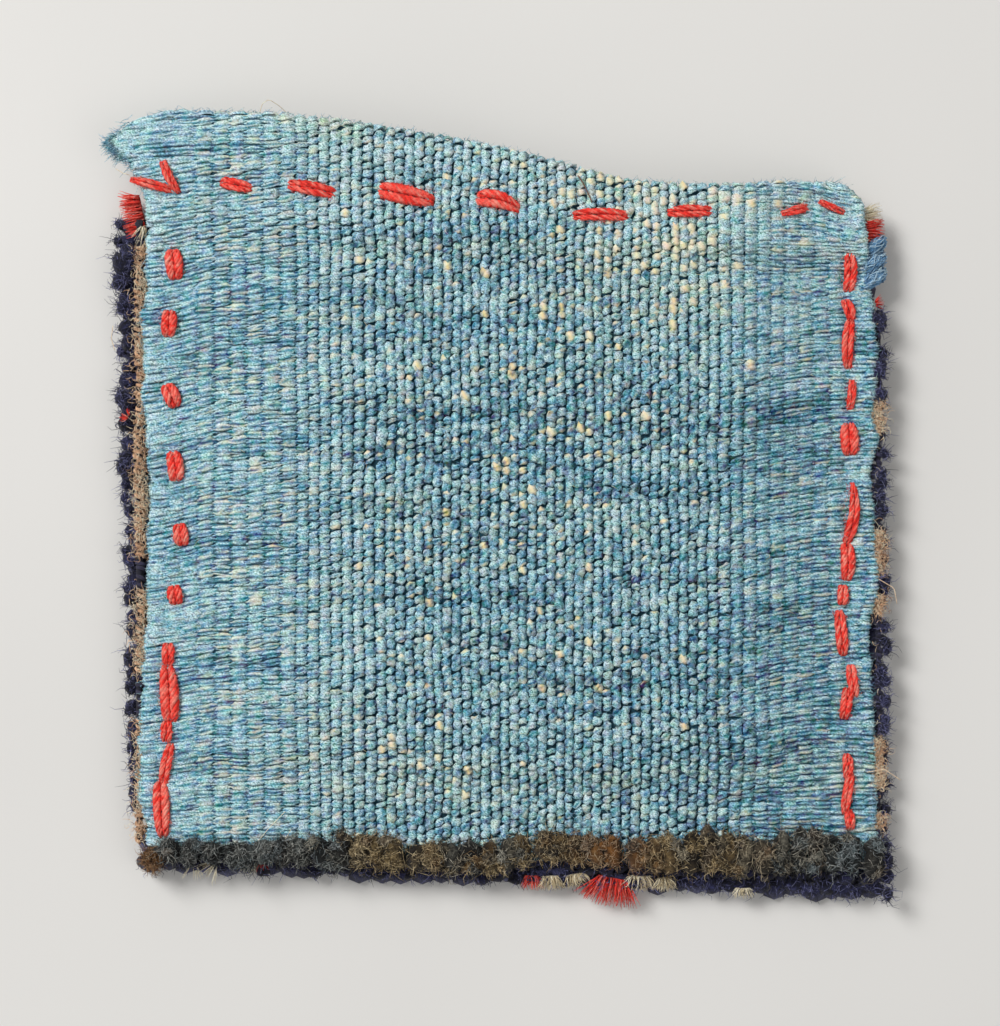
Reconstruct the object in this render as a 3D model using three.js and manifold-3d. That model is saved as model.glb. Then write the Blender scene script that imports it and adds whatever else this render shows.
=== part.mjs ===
// A small flat-woven bag that lies on its knotted-pile face with its plain blue back up.
// One woven strip is folded at the base, stitched up both sides and hemmed at the mouth.
// Millimetres, +Z up, the mouth towards +Y. The pile's underside lies on Z = 0.
import * as THREE from "three";
import { mergeVertices } from "three/addons/utils/BufferGeometryUtils.js";
import Module from "manifold-3d";

const wasm = await Module();
wasm.setup();

const { lerp, smoothstep } = THREE.MathUtils;

// Driving dimensions
const CLOTH = 2.0; // thickness of the woven cloth
const CLEAR = 0.3; // gap left between pieces that touch
const PILE = 4.0; // height of the pile, pressed by the bag's weight
const POCKET = 5.4; // widest gap between the front and the back
const KNOT = 4.1; // width of one pile knot, two warps

const BACK_LEFT = -78.8;
const BACK_RIGHT = 81.3;
const CORNER_DRAW = 3.8; // the back's right mouth corner is drawn in by this much
const FRONT_LEFT = -79.9;
const FRONT_RIGHT = 81.9;
const FRONT_MOUTH = 66.0;
const SEAM_LEFT = -73.4;
const SEAM_RIGHT = 76.2;

const BASE_Y = -77.4; // centre of the base fold at X = 0
const BASE_SLANT = 0.02; // the base runs down to the right
const FOLD_LEFT = 85.5; // centre of the hem's fold, high at the left
const FOLD_RIGHT = 68.6; // and low at the right
const STITCH_LEFT = 71.5; // line of the hem's stitches
const STITCH_RIGHT = 64.5;
const HEM_MARGIN = 4.0; // the turned-in flap ends this far below its stitches
const FLAP_POKE = 7.6; // the flap's corner pokes out at the left of the mouth

// Layers that lie on each other
const LAYER = CLOTH + CLEAR;
const FOLD_RADIUS = LAYER / 2;
const FRONT_Z = PILE + CLEAR + CLOTH / 2;
const BACK_Z = FRONT_Z + LAYER;

// Lines across the bag
function baseLine(x) {
  return BASE_Y - BASE_SLANT * x;
}

function foldLine(x) {
  return lerp(FOLD_LEFT, FOLD_RIGHT, smoothstep(x, -52, 50));
}

function stitchLine(x) {
  return lerp(STITCH_LEFT, STITCH_RIGHT, smoothstep(x, -60, 25));
}

function flapEnd(x) {
  return stitchLine(x) - HEM_MARGIN;
}

// Height of the back's middle surface: it swells away from the seams and the base,
// and steps up where the flap lies under it.
function backHeight(x, y) {
  const rise = 24;
  const fromLeft = smoothstep(x, SEAM_LEFT + 3, SEAM_LEFT + 3 + rise);
  const fromRight = 1 - smoothstep(x, SEAM_RIGHT - 3 - rise, SEAM_RIGHT - 3);
  const fromBase = smoothstep(y, baseLine(x) + 7, baseLine(x) + 7 + rise);
  const overFlap = smoothstep(y, flapEnd(x) - 10, flapEnd(x) - 1);
  return BACK_Z + (POCKET - CLEAR) * fromLeft * fromRight * fromBase + LAYER * overFlap;
}

// The strip's middle surface. u goes from left to right. v goes along the strip: 0 to 1 is the front
// from the mouth down, 1 to 2 the base fold, 2 to 3 the back, 3 to 4 the hem's fold, 4 to 5 the flap.
function strip(u, v) {
  const section = Math.min(Math.floor(v), 4);
  const t = v - section;
  const turn = Math.PI * t;
  const frontX = lerp(FRONT_LEFT, FRONT_RIGHT, u);
  const drawnRight = BACK_RIGHT - CORNER_DRAW;
  if (section === 0) {
    return new THREE.Vector3(frontX, lerp(FRONT_MOUTH, baseLine(frontX), t), FRONT_Z);
  }
  if (section === 1) {
    const x = lerp(frontX, lerp(BACK_LEFT, BACK_RIGHT, u), t);
    const y = baseLine(x) - FOLD_RADIUS * Math.sin(turn);
    return new THREE.Vector3(x, y, FRONT_Z + FOLD_RADIUS * (1 - Math.cos(turn)));
  }
  if (section === 2) {
    const right = lerp(BACK_RIGHT, drawnRight, smoothstep(t, 0.86, 1));
    const x = lerp(BACK_LEFT, right, u);
    const y = lerp(baseLine(x), foldLine(x), t);
    return new THREE.Vector3(x, y, backHeight(x, y));
  }
  if (section === 3) {
    const x = lerp(BACK_LEFT, drawnRight, u);
    const y = foldLine(x) + FOLD_RADIUS * Math.sin(turn);
    return new THREE.Vector3(x, y, backHeight(x, foldLine(x)) - FOLD_RADIUS * (1 - Math.cos(turn)));
  }
  const poke = FLAP_POKE * smoothstep(t, 0, 0.16) * (1 - smoothstep(t, 0.4, 0.62));
  const x = lerp(BACK_LEFT - poke, drawnRight, u);
  const y = lerp(foldLine(x), flapEnd(x), t);
  return new THREE.Vector3(x, y, backHeight(x, y) - LAYER);
}

// Closed geometry to a solid that can be cut, and back again
function toSolid(geometry) {
  const bare = new THREE.BufferGeometry();
  bare.setAttribute("position", geometry.getAttribute("position"));
  if (geometry.index) {
    bare.setIndex(geometry.index);
  }
  const merged = mergeVertices(bare, 1e-4);
  const corners = merged.index.array;
  const kept = [];
  for (let i = 0; i < corners.length; i += 3) {
    const [a, b, c] = [corners[i], corners[i + 1], corners[i + 2]];
    if (a !== b && b !== c && c !== a) {
      kept.push(a, b, c);
    }
  }
  const mesh = new wasm.Mesh({
    numProp: 3,
    vertProperties: new Float32Array(merged.attributes.position.array),
    triVerts: new Uint32Array(kept),
  });
  return new wasm.Manifold(mesh);
}

function toGeometry(solid) {
  const mesh = solid.getMesh();
  const geometry = new THREE.BufferGeometry();
  geometry.setAttribute("position", new THREE.BufferAttribute(mesh.vertProperties, 3));
  geometry.setIndex(new THREE.BufferAttribute(mesh.triVerts, 1));
  geometry.computeVertexNormals();
  return geometry;
}

const FLAT_ENOUGH = 0.1; // faces that differ from flat by less than this are joined

function cut(solid, tools) {
  return tools.reduce((left, tool) => left.subtract(tool), solid).simplify(FLAT_ENOUGH);
}

// A closed sheet of even thickness about a middle surface, on a grid of u and v values
function thickSheet(middle, us, vs, thickness) {
  const uEnd = us[us.length - 1];
  const vEnd = vs[vs.length - 1];
  const step = 1e-4;
  const corners = [[], []];
  for (const v of vs) {
    for (const u of us) {
      const alongU = middle(Math.min(u + step, uEnd), v).sub(middle(Math.max(u - step, 0), v));
      const alongV = middle(u, Math.min(v + step, vEnd)).sub(middle(u, Math.max(v - step, 0)));
      const outward = alongU.cross(alongV).setLength(thickness / 2);
      corners[0].push(middle(u, v).sub(outward));
      corners[1].push(middle(u, v).add(outward));
    }
  }
  const layerSize = us.length * vs.length;
  const index = [];
  const vertex = (layer, i, j) => layer * layerSize + j * us.length + i;
  const quad = (a, b, c, d) => index.push(a, b, c, a, c, d);
  const iLast = us.length - 1;
  const jLast = vs.length - 1;
  for (let j = 0; j < jLast; j += 1) {
    for (let i = 0; i < iLast; i += 1) {
      quad(vertex(1, i, j), vertex(1, i + 1, j), vertex(1, i + 1, j + 1), vertex(1, i, j + 1));
      quad(vertex(0, i, j), vertex(0, i, j + 1), vertex(0, i + 1, j + 1), vertex(0, i + 1, j));
    }
    quad(vertex(0, 0, j), vertex(1, 0, j), vertex(1, 0, j + 1), vertex(0, 0, j + 1));
    quad(vertex(0, iLast, j), vertex(0, iLast, j + 1), vertex(1, iLast, j + 1), vertex(1, iLast, j));
  }
  for (let i = 0; i < iLast; i += 1) {
    quad(vertex(0, i, 0), vertex(0, i + 1, 0), vertex(1, i + 1, 0), vertex(1, i, 0));
    quad(vertex(0, i, jLast), vertex(1, i, jLast), vertex(1, i + 1, jLast), vertex(0, i + 1, jLast));
  }
  const geometry = new THREE.BufferGeometry();
  geometry.setFromPoints([...corners[0], ...corners[1]]);
  geometry.setIndex(index);
  return geometry;
}

// Yarn of an oval section along a curve that keeps one ring at each of its points
class PointwiseCurve extends THREE.CatmullRomCurve3 {
  getUtoTmapping(u) {
    return u;
  }
}

function yarn(points, halfWidth, halfThickness, sides) {
  const oval = new THREE.Shape();
  oval.absellipse(0, 0, halfWidth, halfThickness, 0, 2 * Math.PI);
  const section = new THREE.Shape(oval.getSpacedPoints(sides).slice(0, sides));
  return toSolid(new THREE.ExtrudeGeometry(section, {
    steps: points.length - 1,
    extrudePath: new PointwiseCurve(points, false, "centripetal"),
    bevelEnabled: false,
  }));
}

// Running stitch
const YARN_WIDTH = 1.3; // half the width of the doubled yarn, which lies flat
const YARN_THICKNESS = 0.7; // half its thickness
const YARN_LIFT = 0.2; // its middle lies this far off the cloth where it shows
const YARN_SINK = 0.3; // and this far into the flap where it runs inside the pocket
const NEEDLE_SLOPE = 1.0; // the yarn slants through its hole by this much each way

function runningStitch(stitches, overHeight, underHeight) {
  const points = [];
  for (const [x0, y0, x1, y1] of stitches) {
    const along = new THREE.Vector2(x1 - x0, y1 - y0).setLength(NEEDLE_SLOPE);
    const over = (x, y) => points.push(new THREE.Vector3(x, y, overHeight(x, y)));
    const under = (x, y) => points.push(new THREE.Vector3(x, y, underHeight(x, y)));
    const between = (x, y) => {
      points.push(new THREE.Vector3(x, y, (overHeight(x, y) + underHeight(x, y)) / 2));
    };
    under(x0 - along.x, y0 - along.y);
    between(x0, y0);
    over(x0 + along.x, y0 + along.y);
    over(x1 - along.x, y1 - along.y);
    between(x1, y1);
    under(x1 + along.x, y1 + along.y);
  }
  return points;
}

const overBack = (x, y) => backHeight(x, y) + CLOTH / 2 + YARN_LIFT;
const underFront = () => FRONT_Z - CLOTH / 2 - YARN_LIFT;
const underFlap = (x, y) => backHeight(x, y) - LAYER - CLOTH / 2 + YARN_SINK;

// Each stitch that shows on the side seams: X, then Y at its top and at its lower end
const LEFT_STITCHES = [
  [-72.5, 56.2, 50.9],
  [-73.8, 43.0, 37.9],
  [-73.2, 26.5, 22.6],
  [-72.5, 11.8, 5.8],
  [-71.0, -4.1, -8.3],
  [-72.3, -17.7, -21.2],
  [-73.8, -30.7, -38.2],
  [-73.6, -41.3, -51.0],
  [-74.3, -54.0, -60.8],
  [-75.4, -63.9, -70.6],
];
const RIGHT_STITCHES = [
  [76.2, 55.3, 47.6],
  [76.7, 44.3, 30.9],
  [76.9, 27.9, 21.5],
  [76.5, 18.2, 11.8],
  [76.2, 4.3, -7.4],
  [76.2, -10.4, -15.3],
  [75.4, -18.4, -21.7],
  [74.9, -24.7, -32.4],
  [77.4, -35.4, -40.3],
  [75.6, -43.4, -47.0],
  [76.2, -54.9, -60.2],
  [76.2, -63.3, -70.6],
];
// Each stitch of the hem after the one that wraps the left edge: X and Y at both ends
const HEM_STITCHES = [
  [-73.0, 75.8, -71.0, 70.2],
  [-62.2, 71.6, -54.9, 70.1],
  [-47.2, 70.9, -36.6, 68.8],
  [-27.0, 70.1, -15.1, 67.4],
  [-5.6, 68.1, 3.9, 65.5],
  [14.6, 64.6, 28.3, 63.7],
  [36.2, 64.6, 46.3, 65.2],
  [59.7, 64.8, 67.7, 66.1],
  [69.6, 67.4, 75.6, 64.8],
];

function seamPoints(stitches) {
  const plan = stitches.map(([x, top, low]) => [x, top, x, low]);
  return runningStitch(plan, overBack, underFront);
}

// The hem's yarn starts under the flap, goes round the left edge and over to its first hole
function hemPoints() {
  const y = 71.2;
  const tail = BACK_LEFT + 4.5;
  const rim = BACK_LEFT + 0.6;
  const outside = BACK_LEFT - CLEAR - YARN_THICKNESS;
  const flapZ = underFlap(BACK_LEFT, y);
  const backZ = overBack(BACK_LEFT, y);
  const hole = new THREE.Vector2(-74.8, 70.6);
  const wrap = [
    new THREE.Vector3(tail, y, flapZ - YARN_LIFT),
    new THREE.Vector3(rim, y, flapZ),
    new THREE.Vector3(outside, y, (flapZ + backZ) / 2),
    new THREE.Vector3(rim, y, backZ),
    new THREE.Vector3(hole.x - NEEDLE_SLOPE, hole.y, backZ),
    new THREE.Vector3(hole.x, hole.y, (flapZ + backZ) / 2),
    new THREE.Vector3(hole.x + NEEDLE_SLOPE, hole.y, flapZ),
  ];
  return [...wrap, ...runningStitch(HEM_STITCHES, overBack, underFlap)];
}

function threadPair(points) {
  return {
    body: yarn(points, YARN_WIDTH, YARN_THICKNESS, 6),
    seat: yarn(points, YARN_WIDTH + CLEAR, YARN_THICKNESS + CLEAR, 6),
  };
}

const leftSeam = threadPair(seamPoints(LEFT_STITCHES));
const rightSeam = threadPair(seamPoints(RIGHT_STITCHES));
const hem = threadPair(hemPoints());

// The cloth strip, with the holes and seats that the yarn pulls into it
function spread(from, to, count) {
  return Array.from({ length: count }, (_, i) => lerp(from, to, i / count));
}

const COLUMNS = 16;
const across = Array.from({ length: COLUMNS + 1 }, (_, i) => (1 - Math.cos((Math.PI * i) / COLUMNS)) / 2);
const alongStrip = [
  ...spread(0, 1, 2),
  ...spread(1, 2, 4),
  ...spread(2, 2.3, 7),
  ...spread(2.3, 2.8, 3),
  ...spread(2.8, 3, 5),
  ...spread(3, 4, 4),
  ...spread(4, 5, 7),
  5,
];
const strap = toSolid(thickSheet(strip, across, alongStrip, CLOTH));
const cloth = cut(strap, [leftSeam.seat, rightSeam.seat, hem.seat]);

// Single pile knots in another colour, flared like a brush along +Y from their root
function tuftGeometry(length, radius, grow) {
  const profile = [
    new THREE.Vector2(0, -grow),
    new THREE.Vector2(radius * 0.65 + grow, -grow),
    new THREE.Vector2(radius * 0.85 + grow, length * 0.4),
    new THREE.Vector2(radius + grow, length * 0.8),
    new THREE.Vector2(radius * 0.6 + grow, length + grow),
    new THREE.Vector2(0, length + grow),
  ];
  const flattening = 0.85;
  return new THREE.LatheGeometry(profile, 10).scale(1, 1, flattening);
}

const RED = 0xd2443a;
const IVORY = 0xe0cda6;
const TUFT_Z = PILE / 2 + 0.1;
const OUT = Math.PI; // turn about Z that points a knot out of the base
const TUFTS = [
  { name: "red_corner_tuft_left", root: [-80.4, 62.6], turn: 0.88, length: 7.0, radius: 2.1, colour: RED },
  { name: "red_corner_tuft_right", root: [79.2, 60.6], turn: -1.07, length: 5.6, radius: 2.0, colour: RED },
  { name: "red_base_tuft", root: [23.6, -82.2], turn: OUT, length: 5.3, radius: 2.2, colour: RED },
  { name: "red_base_tuft_small", root: [6.4, -80.4], turn: OUT, length: 4.5, radius: 1.6, colour: RED },
  { name: "ivory_base_tuft_1", root: [10.6, -80.6], turn: OUT, length: 4.5, radius: 1.6, colour: IVORY },
  { name: "ivory_base_tuft_2", root: [16.6, -80.8], turn: OUT, length: 4.6, radius: 1.6, colour: IVORY },
  { name: "ivory_base_tuft_3", root: [30.3, -81.4], turn: OUT, length: 4.7, radius: 1.6, colour: IVORY },
  { name: "ivory_base_tuft_4", root: [35.4, -81.6], turn: OUT, length: 4.7, radius: 1.6, colour: IVORY },
];
const tuftSockets = TUFTS.map(({ root, turn, length, radius }) => {
  const socket = tuftGeometry(length, radius, CLEAR);
  return toSolid(socket.rotateZ(turn).translate(root[0], root[1], TUFT_Z));
});

// The pile pad under the front, with room for the seams' inner runs and the coloured knots
const PILE_CORNERS = [[-86.8, 66.0], [-83.0, -80.0], [86.8, -87.7], [85.0, 66.0]];
const PILE_CORNER_CUT = 5.0;
const PILE_EDGE = 1.5; // rounding of the pad's edges

function roundedOutline(corners, size) {
  const outline = new THREE.Shape();
  corners.forEach((corner, i) => {
    const here = new THREE.Vector2(...corner);
    const before = new THREE.Vector2(...corners[(i + corners.length - 1) % corners.length]);
    const after = new THREE.Vector2(...corners[(i + 1) % corners.length]);
    const start = before.sub(here).setLength(size).add(here);
    const end = after.sub(here).setLength(size).add(here);
    if (i === 0) {
      outline.moveTo(start.x, start.y);
    } else {
      outline.lineTo(start.x, start.y);
    }
    outline.quadraticCurveTo(here.x, here.y, end.x, end.y);
  });
  return outline;
}

const padGeometry = new THREE.ExtrudeGeometry(roundedOutline(PILE_CORNERS, PILE_CORNER_CUT), {
  depth: PILE - 2 * PILE_EDGE,
  bevelThickness: PILE_EDGE,
  bevelSize: PILE_EDGE,
  bevelOffset: -PILE_EDGE,
  bevelSegments: 3,
  curveSegments: 5,
});
padGeometry.translate(0, 0, PILE_EDGE);
const pilePad = cut(toSolid(padGeometry), [leftSeam.seat, rightSeam.seat, ...tuftSockets]);

// The plump band of knots round the base: a crescent about the fold, ridged at each knot.
// In its section the first coordinate is the distance out from the fold's centre, the second is Z.
const BAND_REACH = 5.0; // how far it climbs onto the back
const BAND_HEIGHT = 2.5; // how far it stands above the back
const BAND_OUT = 4.4; // how far it stands out from the fold's centre
const BAND_RIDGE = 0.09;

function baseBand() {
  const foldZ = FRONT_Z + FOLD_RADIUS;
  const inner = FOLD_RADIUS + CLOTH / 2 + CLEAR;
  const lowAngle = -0.85;
  const top = foldZ + inner;
  const section = new THREE.Shape();
  section.moveTo(-BAND_REACH, top);
  section.lineTo(0, top);
  section.absarc(0, foldZ, inner, Math.PI / 2, lowAngle, true);
  section.lineTo(BAND_OUT - 0.9, foldZ + inner * Math.sin(lowAngle) + 0.1);
  section.quadraticCurveTo(BAND_OUT + 0.6, foldZ + 1, BAND_OUT - 2, top + BAND_HEIGHT * 0.8);
  section.quadraticCurveTo(-0.4, top + BAND_HEIGHT * 1.15, -BAND_REACH, top + 0.5);
  section.closePath();
  const knots = Math.floor((BACK_RIGHT - BACK_LEFT - 4) / KNOT);
  const length = knots * KNOT;
  const geometry = new THREE.ExtrudeGeometry(section, {
    depth: length,
    steps: knots * 2,
    bevelEnabled: false,
    curveSegments: 4,
  });
  const position = geometry.getAttribute("position");
  const middle = (BACK_LEFT + BACK_RIGHT) / 2;
  for (let i = 0; i < position.count; i += 1) {
    const out = position.getX(i);
    const z = position.getY(i);
    const run = position.getZ(i);
    const isOuter = Math.hypot(Math.max(out, 0), z - foldZ) > inner + 0.1;
    const ridge = isOuter ? 1 + BAND_RIDGE * Math.sin((Math.PI * (2 * run + KNOT / 2)) / KNOT) : 1;
    const x = middle + length / 2 - run;
    position.setXYZ(i, x, baseLine(x) - out * ridge, top + (z - top) * (z > top ? ridge : 1));
  }
  return cut(toSolid(geometry), [leftSeam.seat, rightSeam.seat]);
}

// Overcast bindings of the front's side edges, each along Y about its own middle
const WRAP_RADIUS = 1.35;
const WRAP_Z = FRONT_Z + 0.45;

function edgeWrap(length, radius) {
  const half = length / 2;
  const points = [...spread(half, -half, 12), -half].map((y, i) => {
    return new THREE.Vector3(0.15 * Math.sin(i * 1.7), y, 0);
  });
  return yarn(points, radius, radius, 10);
}

// The bag as a scene graph
const bag = new THREE.Group();
bag.name = "kilim_saddle_bag";

function addGroup(name) {
  const group = new THREE.Group();
  group.name = name;
  bag.add(group);
  return group;
}

function addMesh(group, name, solid, colour) {
  const material = new THREE.MeshStandardMaterial({ color: colour, roughness: 0.95, metalness: 0 });
  const mesh = new THREE.Mesh(toGeometry(solid), material);
  mesh.name = name;
  group.add(mesh);
  return mesh;
}

addMesh(bag, "bag_cloth", cloth, 0x6f99a6);

const pile = addGroup("pile");
addMesh(pile, "face_pile", pilePad, 0x2b2b39);
addMesh(pile, "base_pile_band", baseBand(), 0x5a4833);
for (const { name, root, turn, length, radius, colour } of TUFTS) {
  const tuft = addMesh(pile, name, toSolid(tuftGeometry(length, radius, 0)), colour);
  tuft.position.set(root[0], root[1], TUFT_Z);
  tuft.rotation.z = turn;
}

const BROWN = 0x8c6c46;
const BLUE = 0x6f9db0;
const BINDINGS = [
  { name: "left_selvage_wrap", edge: FRONT_LEFT, side: -1, top: 58.0, low: -74.0, grow: 0, colour: BROWN },
  { name: "right_selvage_wrap", edge: FRONT_RIGHT, side: 1, top: 47.0, low: -75.0, grow: 0, colour: BROWN },
  { name: "right_corner_whip", edge: FRONT_RIGHT, side: 1, top: 60.5, low: 48.0, grow: 0.2, colour: BLUE },
];
const bindings = addGroup("bindings");
bindings.position.z = WRAP_Z;
for (const { name, edge, side, top, low, grow, colour } of BINDINGS) {
  const radius = WRAP_RADIUS + grow;
  const wrap = addMesh(bindings, name, edgeWrap(top - low, radius), colour);
  wrap.position.set(edge + side * (CLEAR + radius + 0.15), (top + low) / 2, 0);
}

const stitching = addGroup("stitching");
addMesh(stitching, "left_seam_thread", leftSeam.body, RED);
addMesh(stitching, "right_seam_thread", rightSeam.body, RED);
addMesh(stitching, "hem_thread", hem.body, RED);

export default bag;
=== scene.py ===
"""The looks of a small kilim saddle bag that lies on its pile face, with its plain blue back up.

Every yarn of the back is its own tube, and the pile, the bindings, the stitches and the tufts are
made of fibres. Lengths are in millimetres until a mesh is built.
"""

import bpy
import numpy as np
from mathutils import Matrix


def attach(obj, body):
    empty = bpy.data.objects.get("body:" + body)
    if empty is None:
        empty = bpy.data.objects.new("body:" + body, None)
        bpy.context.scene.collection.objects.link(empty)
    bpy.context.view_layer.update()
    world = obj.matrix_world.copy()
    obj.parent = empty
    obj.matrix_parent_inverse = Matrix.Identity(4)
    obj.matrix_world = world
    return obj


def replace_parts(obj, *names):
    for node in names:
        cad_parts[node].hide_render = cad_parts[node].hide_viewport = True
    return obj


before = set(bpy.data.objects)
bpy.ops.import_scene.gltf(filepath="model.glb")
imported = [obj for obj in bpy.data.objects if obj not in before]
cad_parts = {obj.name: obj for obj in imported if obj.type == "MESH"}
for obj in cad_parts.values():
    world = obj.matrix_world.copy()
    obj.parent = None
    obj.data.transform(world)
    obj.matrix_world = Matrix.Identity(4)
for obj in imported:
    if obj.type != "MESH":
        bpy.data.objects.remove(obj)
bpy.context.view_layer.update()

MM = 0.001
UP = np.array([0.0, 0.0, 1.0])
SIDEWAYS = np.array([1.0, 0.0, 0.0])
BAKE_MAP = "OFBake"  # the name of the map that the colours can be written to
FLOOR_GAP = 0.03  # nothing reaches lower than this
PILE_FIBRE = 0.085  # radius of a fibre of the pile

# Driving dimensions, as in the construction
CLOTH = 2.0
CLEAR = 0.3
PILE = 4.0
POCKET = 5.4
KNOT = 4.1
BACK_LEFT, BACK_RIGHT = -78.8, 81.3
CORNER_DRAW = 3.8
FRONT_LEFT, FRONT_RIGHT = -79.9, 81.9
FRONT_MOUTH = 66.0
SEAM_LEFT, SEAM_RIGHT = -73.4, 76.2
BASE_Y, BASE_SLANT = -77.4, 0.02
FOLD_LEFT, FOLD_RIGHT = 85.5, 68.6
STITCH_LEFT, STITCH_RIGHT = 71.5, 64.5
HEM_MARGIN = 4.0
FLAP_POKE = 7.6
FOLD_SLOPE, STITCH_SLOPE = (-52, 50), (-60, 25)  # where along x the hem's fold and its stitches slope down
SIDE_SWELL, BASE_SWELL = (3, 27), (7, 31)  # where the swell starts and ends, from the seams and the base
HEM_STEP = (10, 1)  # where the step over the hem starts and ends, below the flap
LAYER = CLOTH + CLEAR
FOLD_RADIUS = LAYER / 2
FRONT_Z = PILE + CLEAR + CLOTH / 2
BACK_Z = FRONT_Z + LAYER

# The weave
ROW_PITCH = 0.915  # from one weft to the next
GROUND = 0.6  # thickness of the ground that holds the warps
GROUND_DROP = 0.6  # how far it lies below the middle of the cloth
BEAD_TOP = 0.95  # top of a weft above the middle of the cloth
WRAP_INSIDE = 2.5  # how far the modelled wefts go on, past the fold of the hem


# Numbers

def rise(x, low, high):
    """0 below low and 1 above high, with a soft step between them."""
    t = np.clip((x - low) / (high - low), 0, 1)
    return t * t * (3 - 2 * t)


def fall(x, low, high):
    return 1 - rise(x, low, high)


def hump(x, middle, half):
    """1 at the middle, and falling off on both sides."""
    return np.exp(-(((x - middle) / half) ** 2))


def lerp(a, b, t):
    return a + (b - a) * t


def noise(a, b, seed):
    """Smooth noise from -1 to 1, with one step of its grid for each unit of a and b."""
    size = 64
    grid = np.random.default_rng(seed).uniform(-1, 1, (size, size))
    i, j = np.floor(a).astype(int), np.floor(b).astype(int)
    s, t = rise(a - i, 0, 1), rise(b - j, 0, 1)
    low = lerp(grid[i % size, j % size], grid[(i + 1) % size, j % size], s)
    high = lerp(grid[i % size, (j + 1) % size], grid[(i + 1) % size, (j + 1) % size], s)
    return lerp(low, high, t)


def wander(y, step, seed):
    """Smooth noise along one line."""
    return noise(y / step, 0 * y, seed)


def unit(v):
    return v / np.maximum(np.linalg.norm(v, axis=-1, keepdims=True), 1e-9)


def at(*parts):
    """Points from their coordinates."""
    return np.stack(np.broadcast_arrays(*[np.asarray(p, float) for p in parts]), axis=-1)


# The bag's own lines, as in the construction

def base_line(x):
    return BASE_Y - BASE_SLANT * x


# How far the soft fold of the hem wanders from the construction's line, along the mouth
FOLD_TRIM = [(-71, 0.4), (-53, -0.7), (-40, -1.5), (-27, -1.4), (-9, -0.4), (4, 0.2), (17, -0.4), (26, -0.9),
             (35, -0.3), (52, 0.4), (62, 1.3), (80, 1.4)]


def fold_line(x):
    places, trims = zip(*FOLD_TRIM)
    return lerp(FOLD_LEFT, FOLD_RIGHT, rise(x, *FOLD_SLOPE)) + np.interp(x, places, trims)


def stitch_line(x):
    return lerp(STITCH_LEFT, STITCH_RIGHT, rise(x, *STITCH_SLOPE))


def flap_end(x):
    return stitch_line(x) - HEM_MARGIN


def back_height(x, y):
    """Middle of the back's cloth, above the floor: swollen over the pocket, raised over the hem."""
    near, far = SIDE_SWELL
    across = rise(x, SEAM_LEFT + near, SEAM_LEFT + far) * fall(x, SEAM_RIGHT - far, SEAM_RIGHT - near)
    swell = (POCKET - CLEAR) * across * rise(y, *[base_line(x) + up for up in BASE_SWELL])
    hem = LAYER * rise(y, *[flap_end(x) - down for down in HEM_STEP])
    return BACK_Z + swell + hem


def round_corner(x):
    """How far the hem's fold drops at the two rounded corners of the mouth."""
    return 6.0 * fall(x, -90, -70) ** 1.5 + 5.0 * rise(x, 70, 82) ** 2


# Stitches of red yarn: start, end, width and how much wider the start is than the end

LEFT_STITCHES = [
    ((-72.9, 56.8), (-72.3, 50.2), 4.2, 0.0),
    ((-73.6, 43.4), (-73.9, 37.4), 3.7, 0.1),
    ((-74.4, 27.0), (-72.2, 22.0), 3.8, 0.0),
    ((-72.9, 12.2), (-72.1, 5.6), 3.9, 0.0),
    ((-71.4, -3.8), (-70.7, -8.6), 3.6, 0.0),
    ((-72.6, -17.4), (-72.0, -21.6), 3.5, 0.0),
    ((-73.8, -30.2), (-74.0, -35.4), 3.0, 0.2),
    ((-74.1, -35.0), (-73.4, -47.6), 4.5, -0.1),
    ((-74.2, -47.4), (-74.2, -52.2), 2.7, 0.2),
    ((-73.2, -52.3), (-75.0, -61.4), 2.6, -0.2),
    ((-75.6, -60.8), (-75.0, -73.2), 3.9, 0.2),
]
RIGHT_STITCHES = [
    ((76.5, 55.8), (76.3, 47.4), 3.1, 0.0),
    ((75.6, 45.8), (77.2, 41.0), 2.6, 0.0),
    ((77.0, 41.4), (76.4, 30.4), 2.8, 0.1),
    ((77.2, 28.2), (76.6, 21.2), 2.0, 0.0),
    ((76.4, 18.4), (76.8, 11.4), 4.3, 0.0),
    ((77.2, 5.4), (75.9, -8.2), 2.6, -0.5),
    ((76.0, -8.0), (76.0, -16.4), 3.4, 0.1),
    ((75.2, -17.2), (75.0, -21.8), 2.6, 0.0),
    ((74.4, -22.8), (75.4, -33.0), 2.9, 0.0),
    ((76.9, -34.9), (77.9, -42.2), 2.6, 0.1),
    ((76.3, -40.0), (75.4, -47.0), 2.8, 0.0),
    ((76.1, -54.6), (76.2, -60.2), 2.5, 0.1),
    ((77.2, -58.9), (75.7, -68.2), 2.4, 0.0),
    ((76.4, -67.0), (76.8, -71.6), 2.4, 0.0),
]
HEM_STITCHES = [
    ((-74.9, 76.4), (-71.2, 69.0), 2.1, 0.1),
    ((-82.0, 72.0), (-72.4, 69.5), 2.1, -0.1),
    ((-62.0, 71.4), (-54.7, 69.7), 2.8, 0.2),
    ((-46.9, 70.3), (-36.2, 68.2), 3.1, 0.0),
    ((-26.9, 69.3), (-14.9, 66.7), 4.4, 0.3),
    ((-5.7, 67.3), (4.0, 64.7), 3.9, 0.6),
    ((14.9, 63.4), (27.8, 63.3), 2.9, 0.0),
    ((36.0, 64.2), (46.1, 64.4), 2.8, 0.0),
    ((60.9, 64.1), (67.2, 66.0), 2.0, -0.5),
    ((69.5, 67.2), (75.4, 64.6), 1.6, 0.1),
]
DENT_REACH = 1.7  # how far round a stitch the cloth is pressed down
DENT_DEPTH = 0.75


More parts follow.
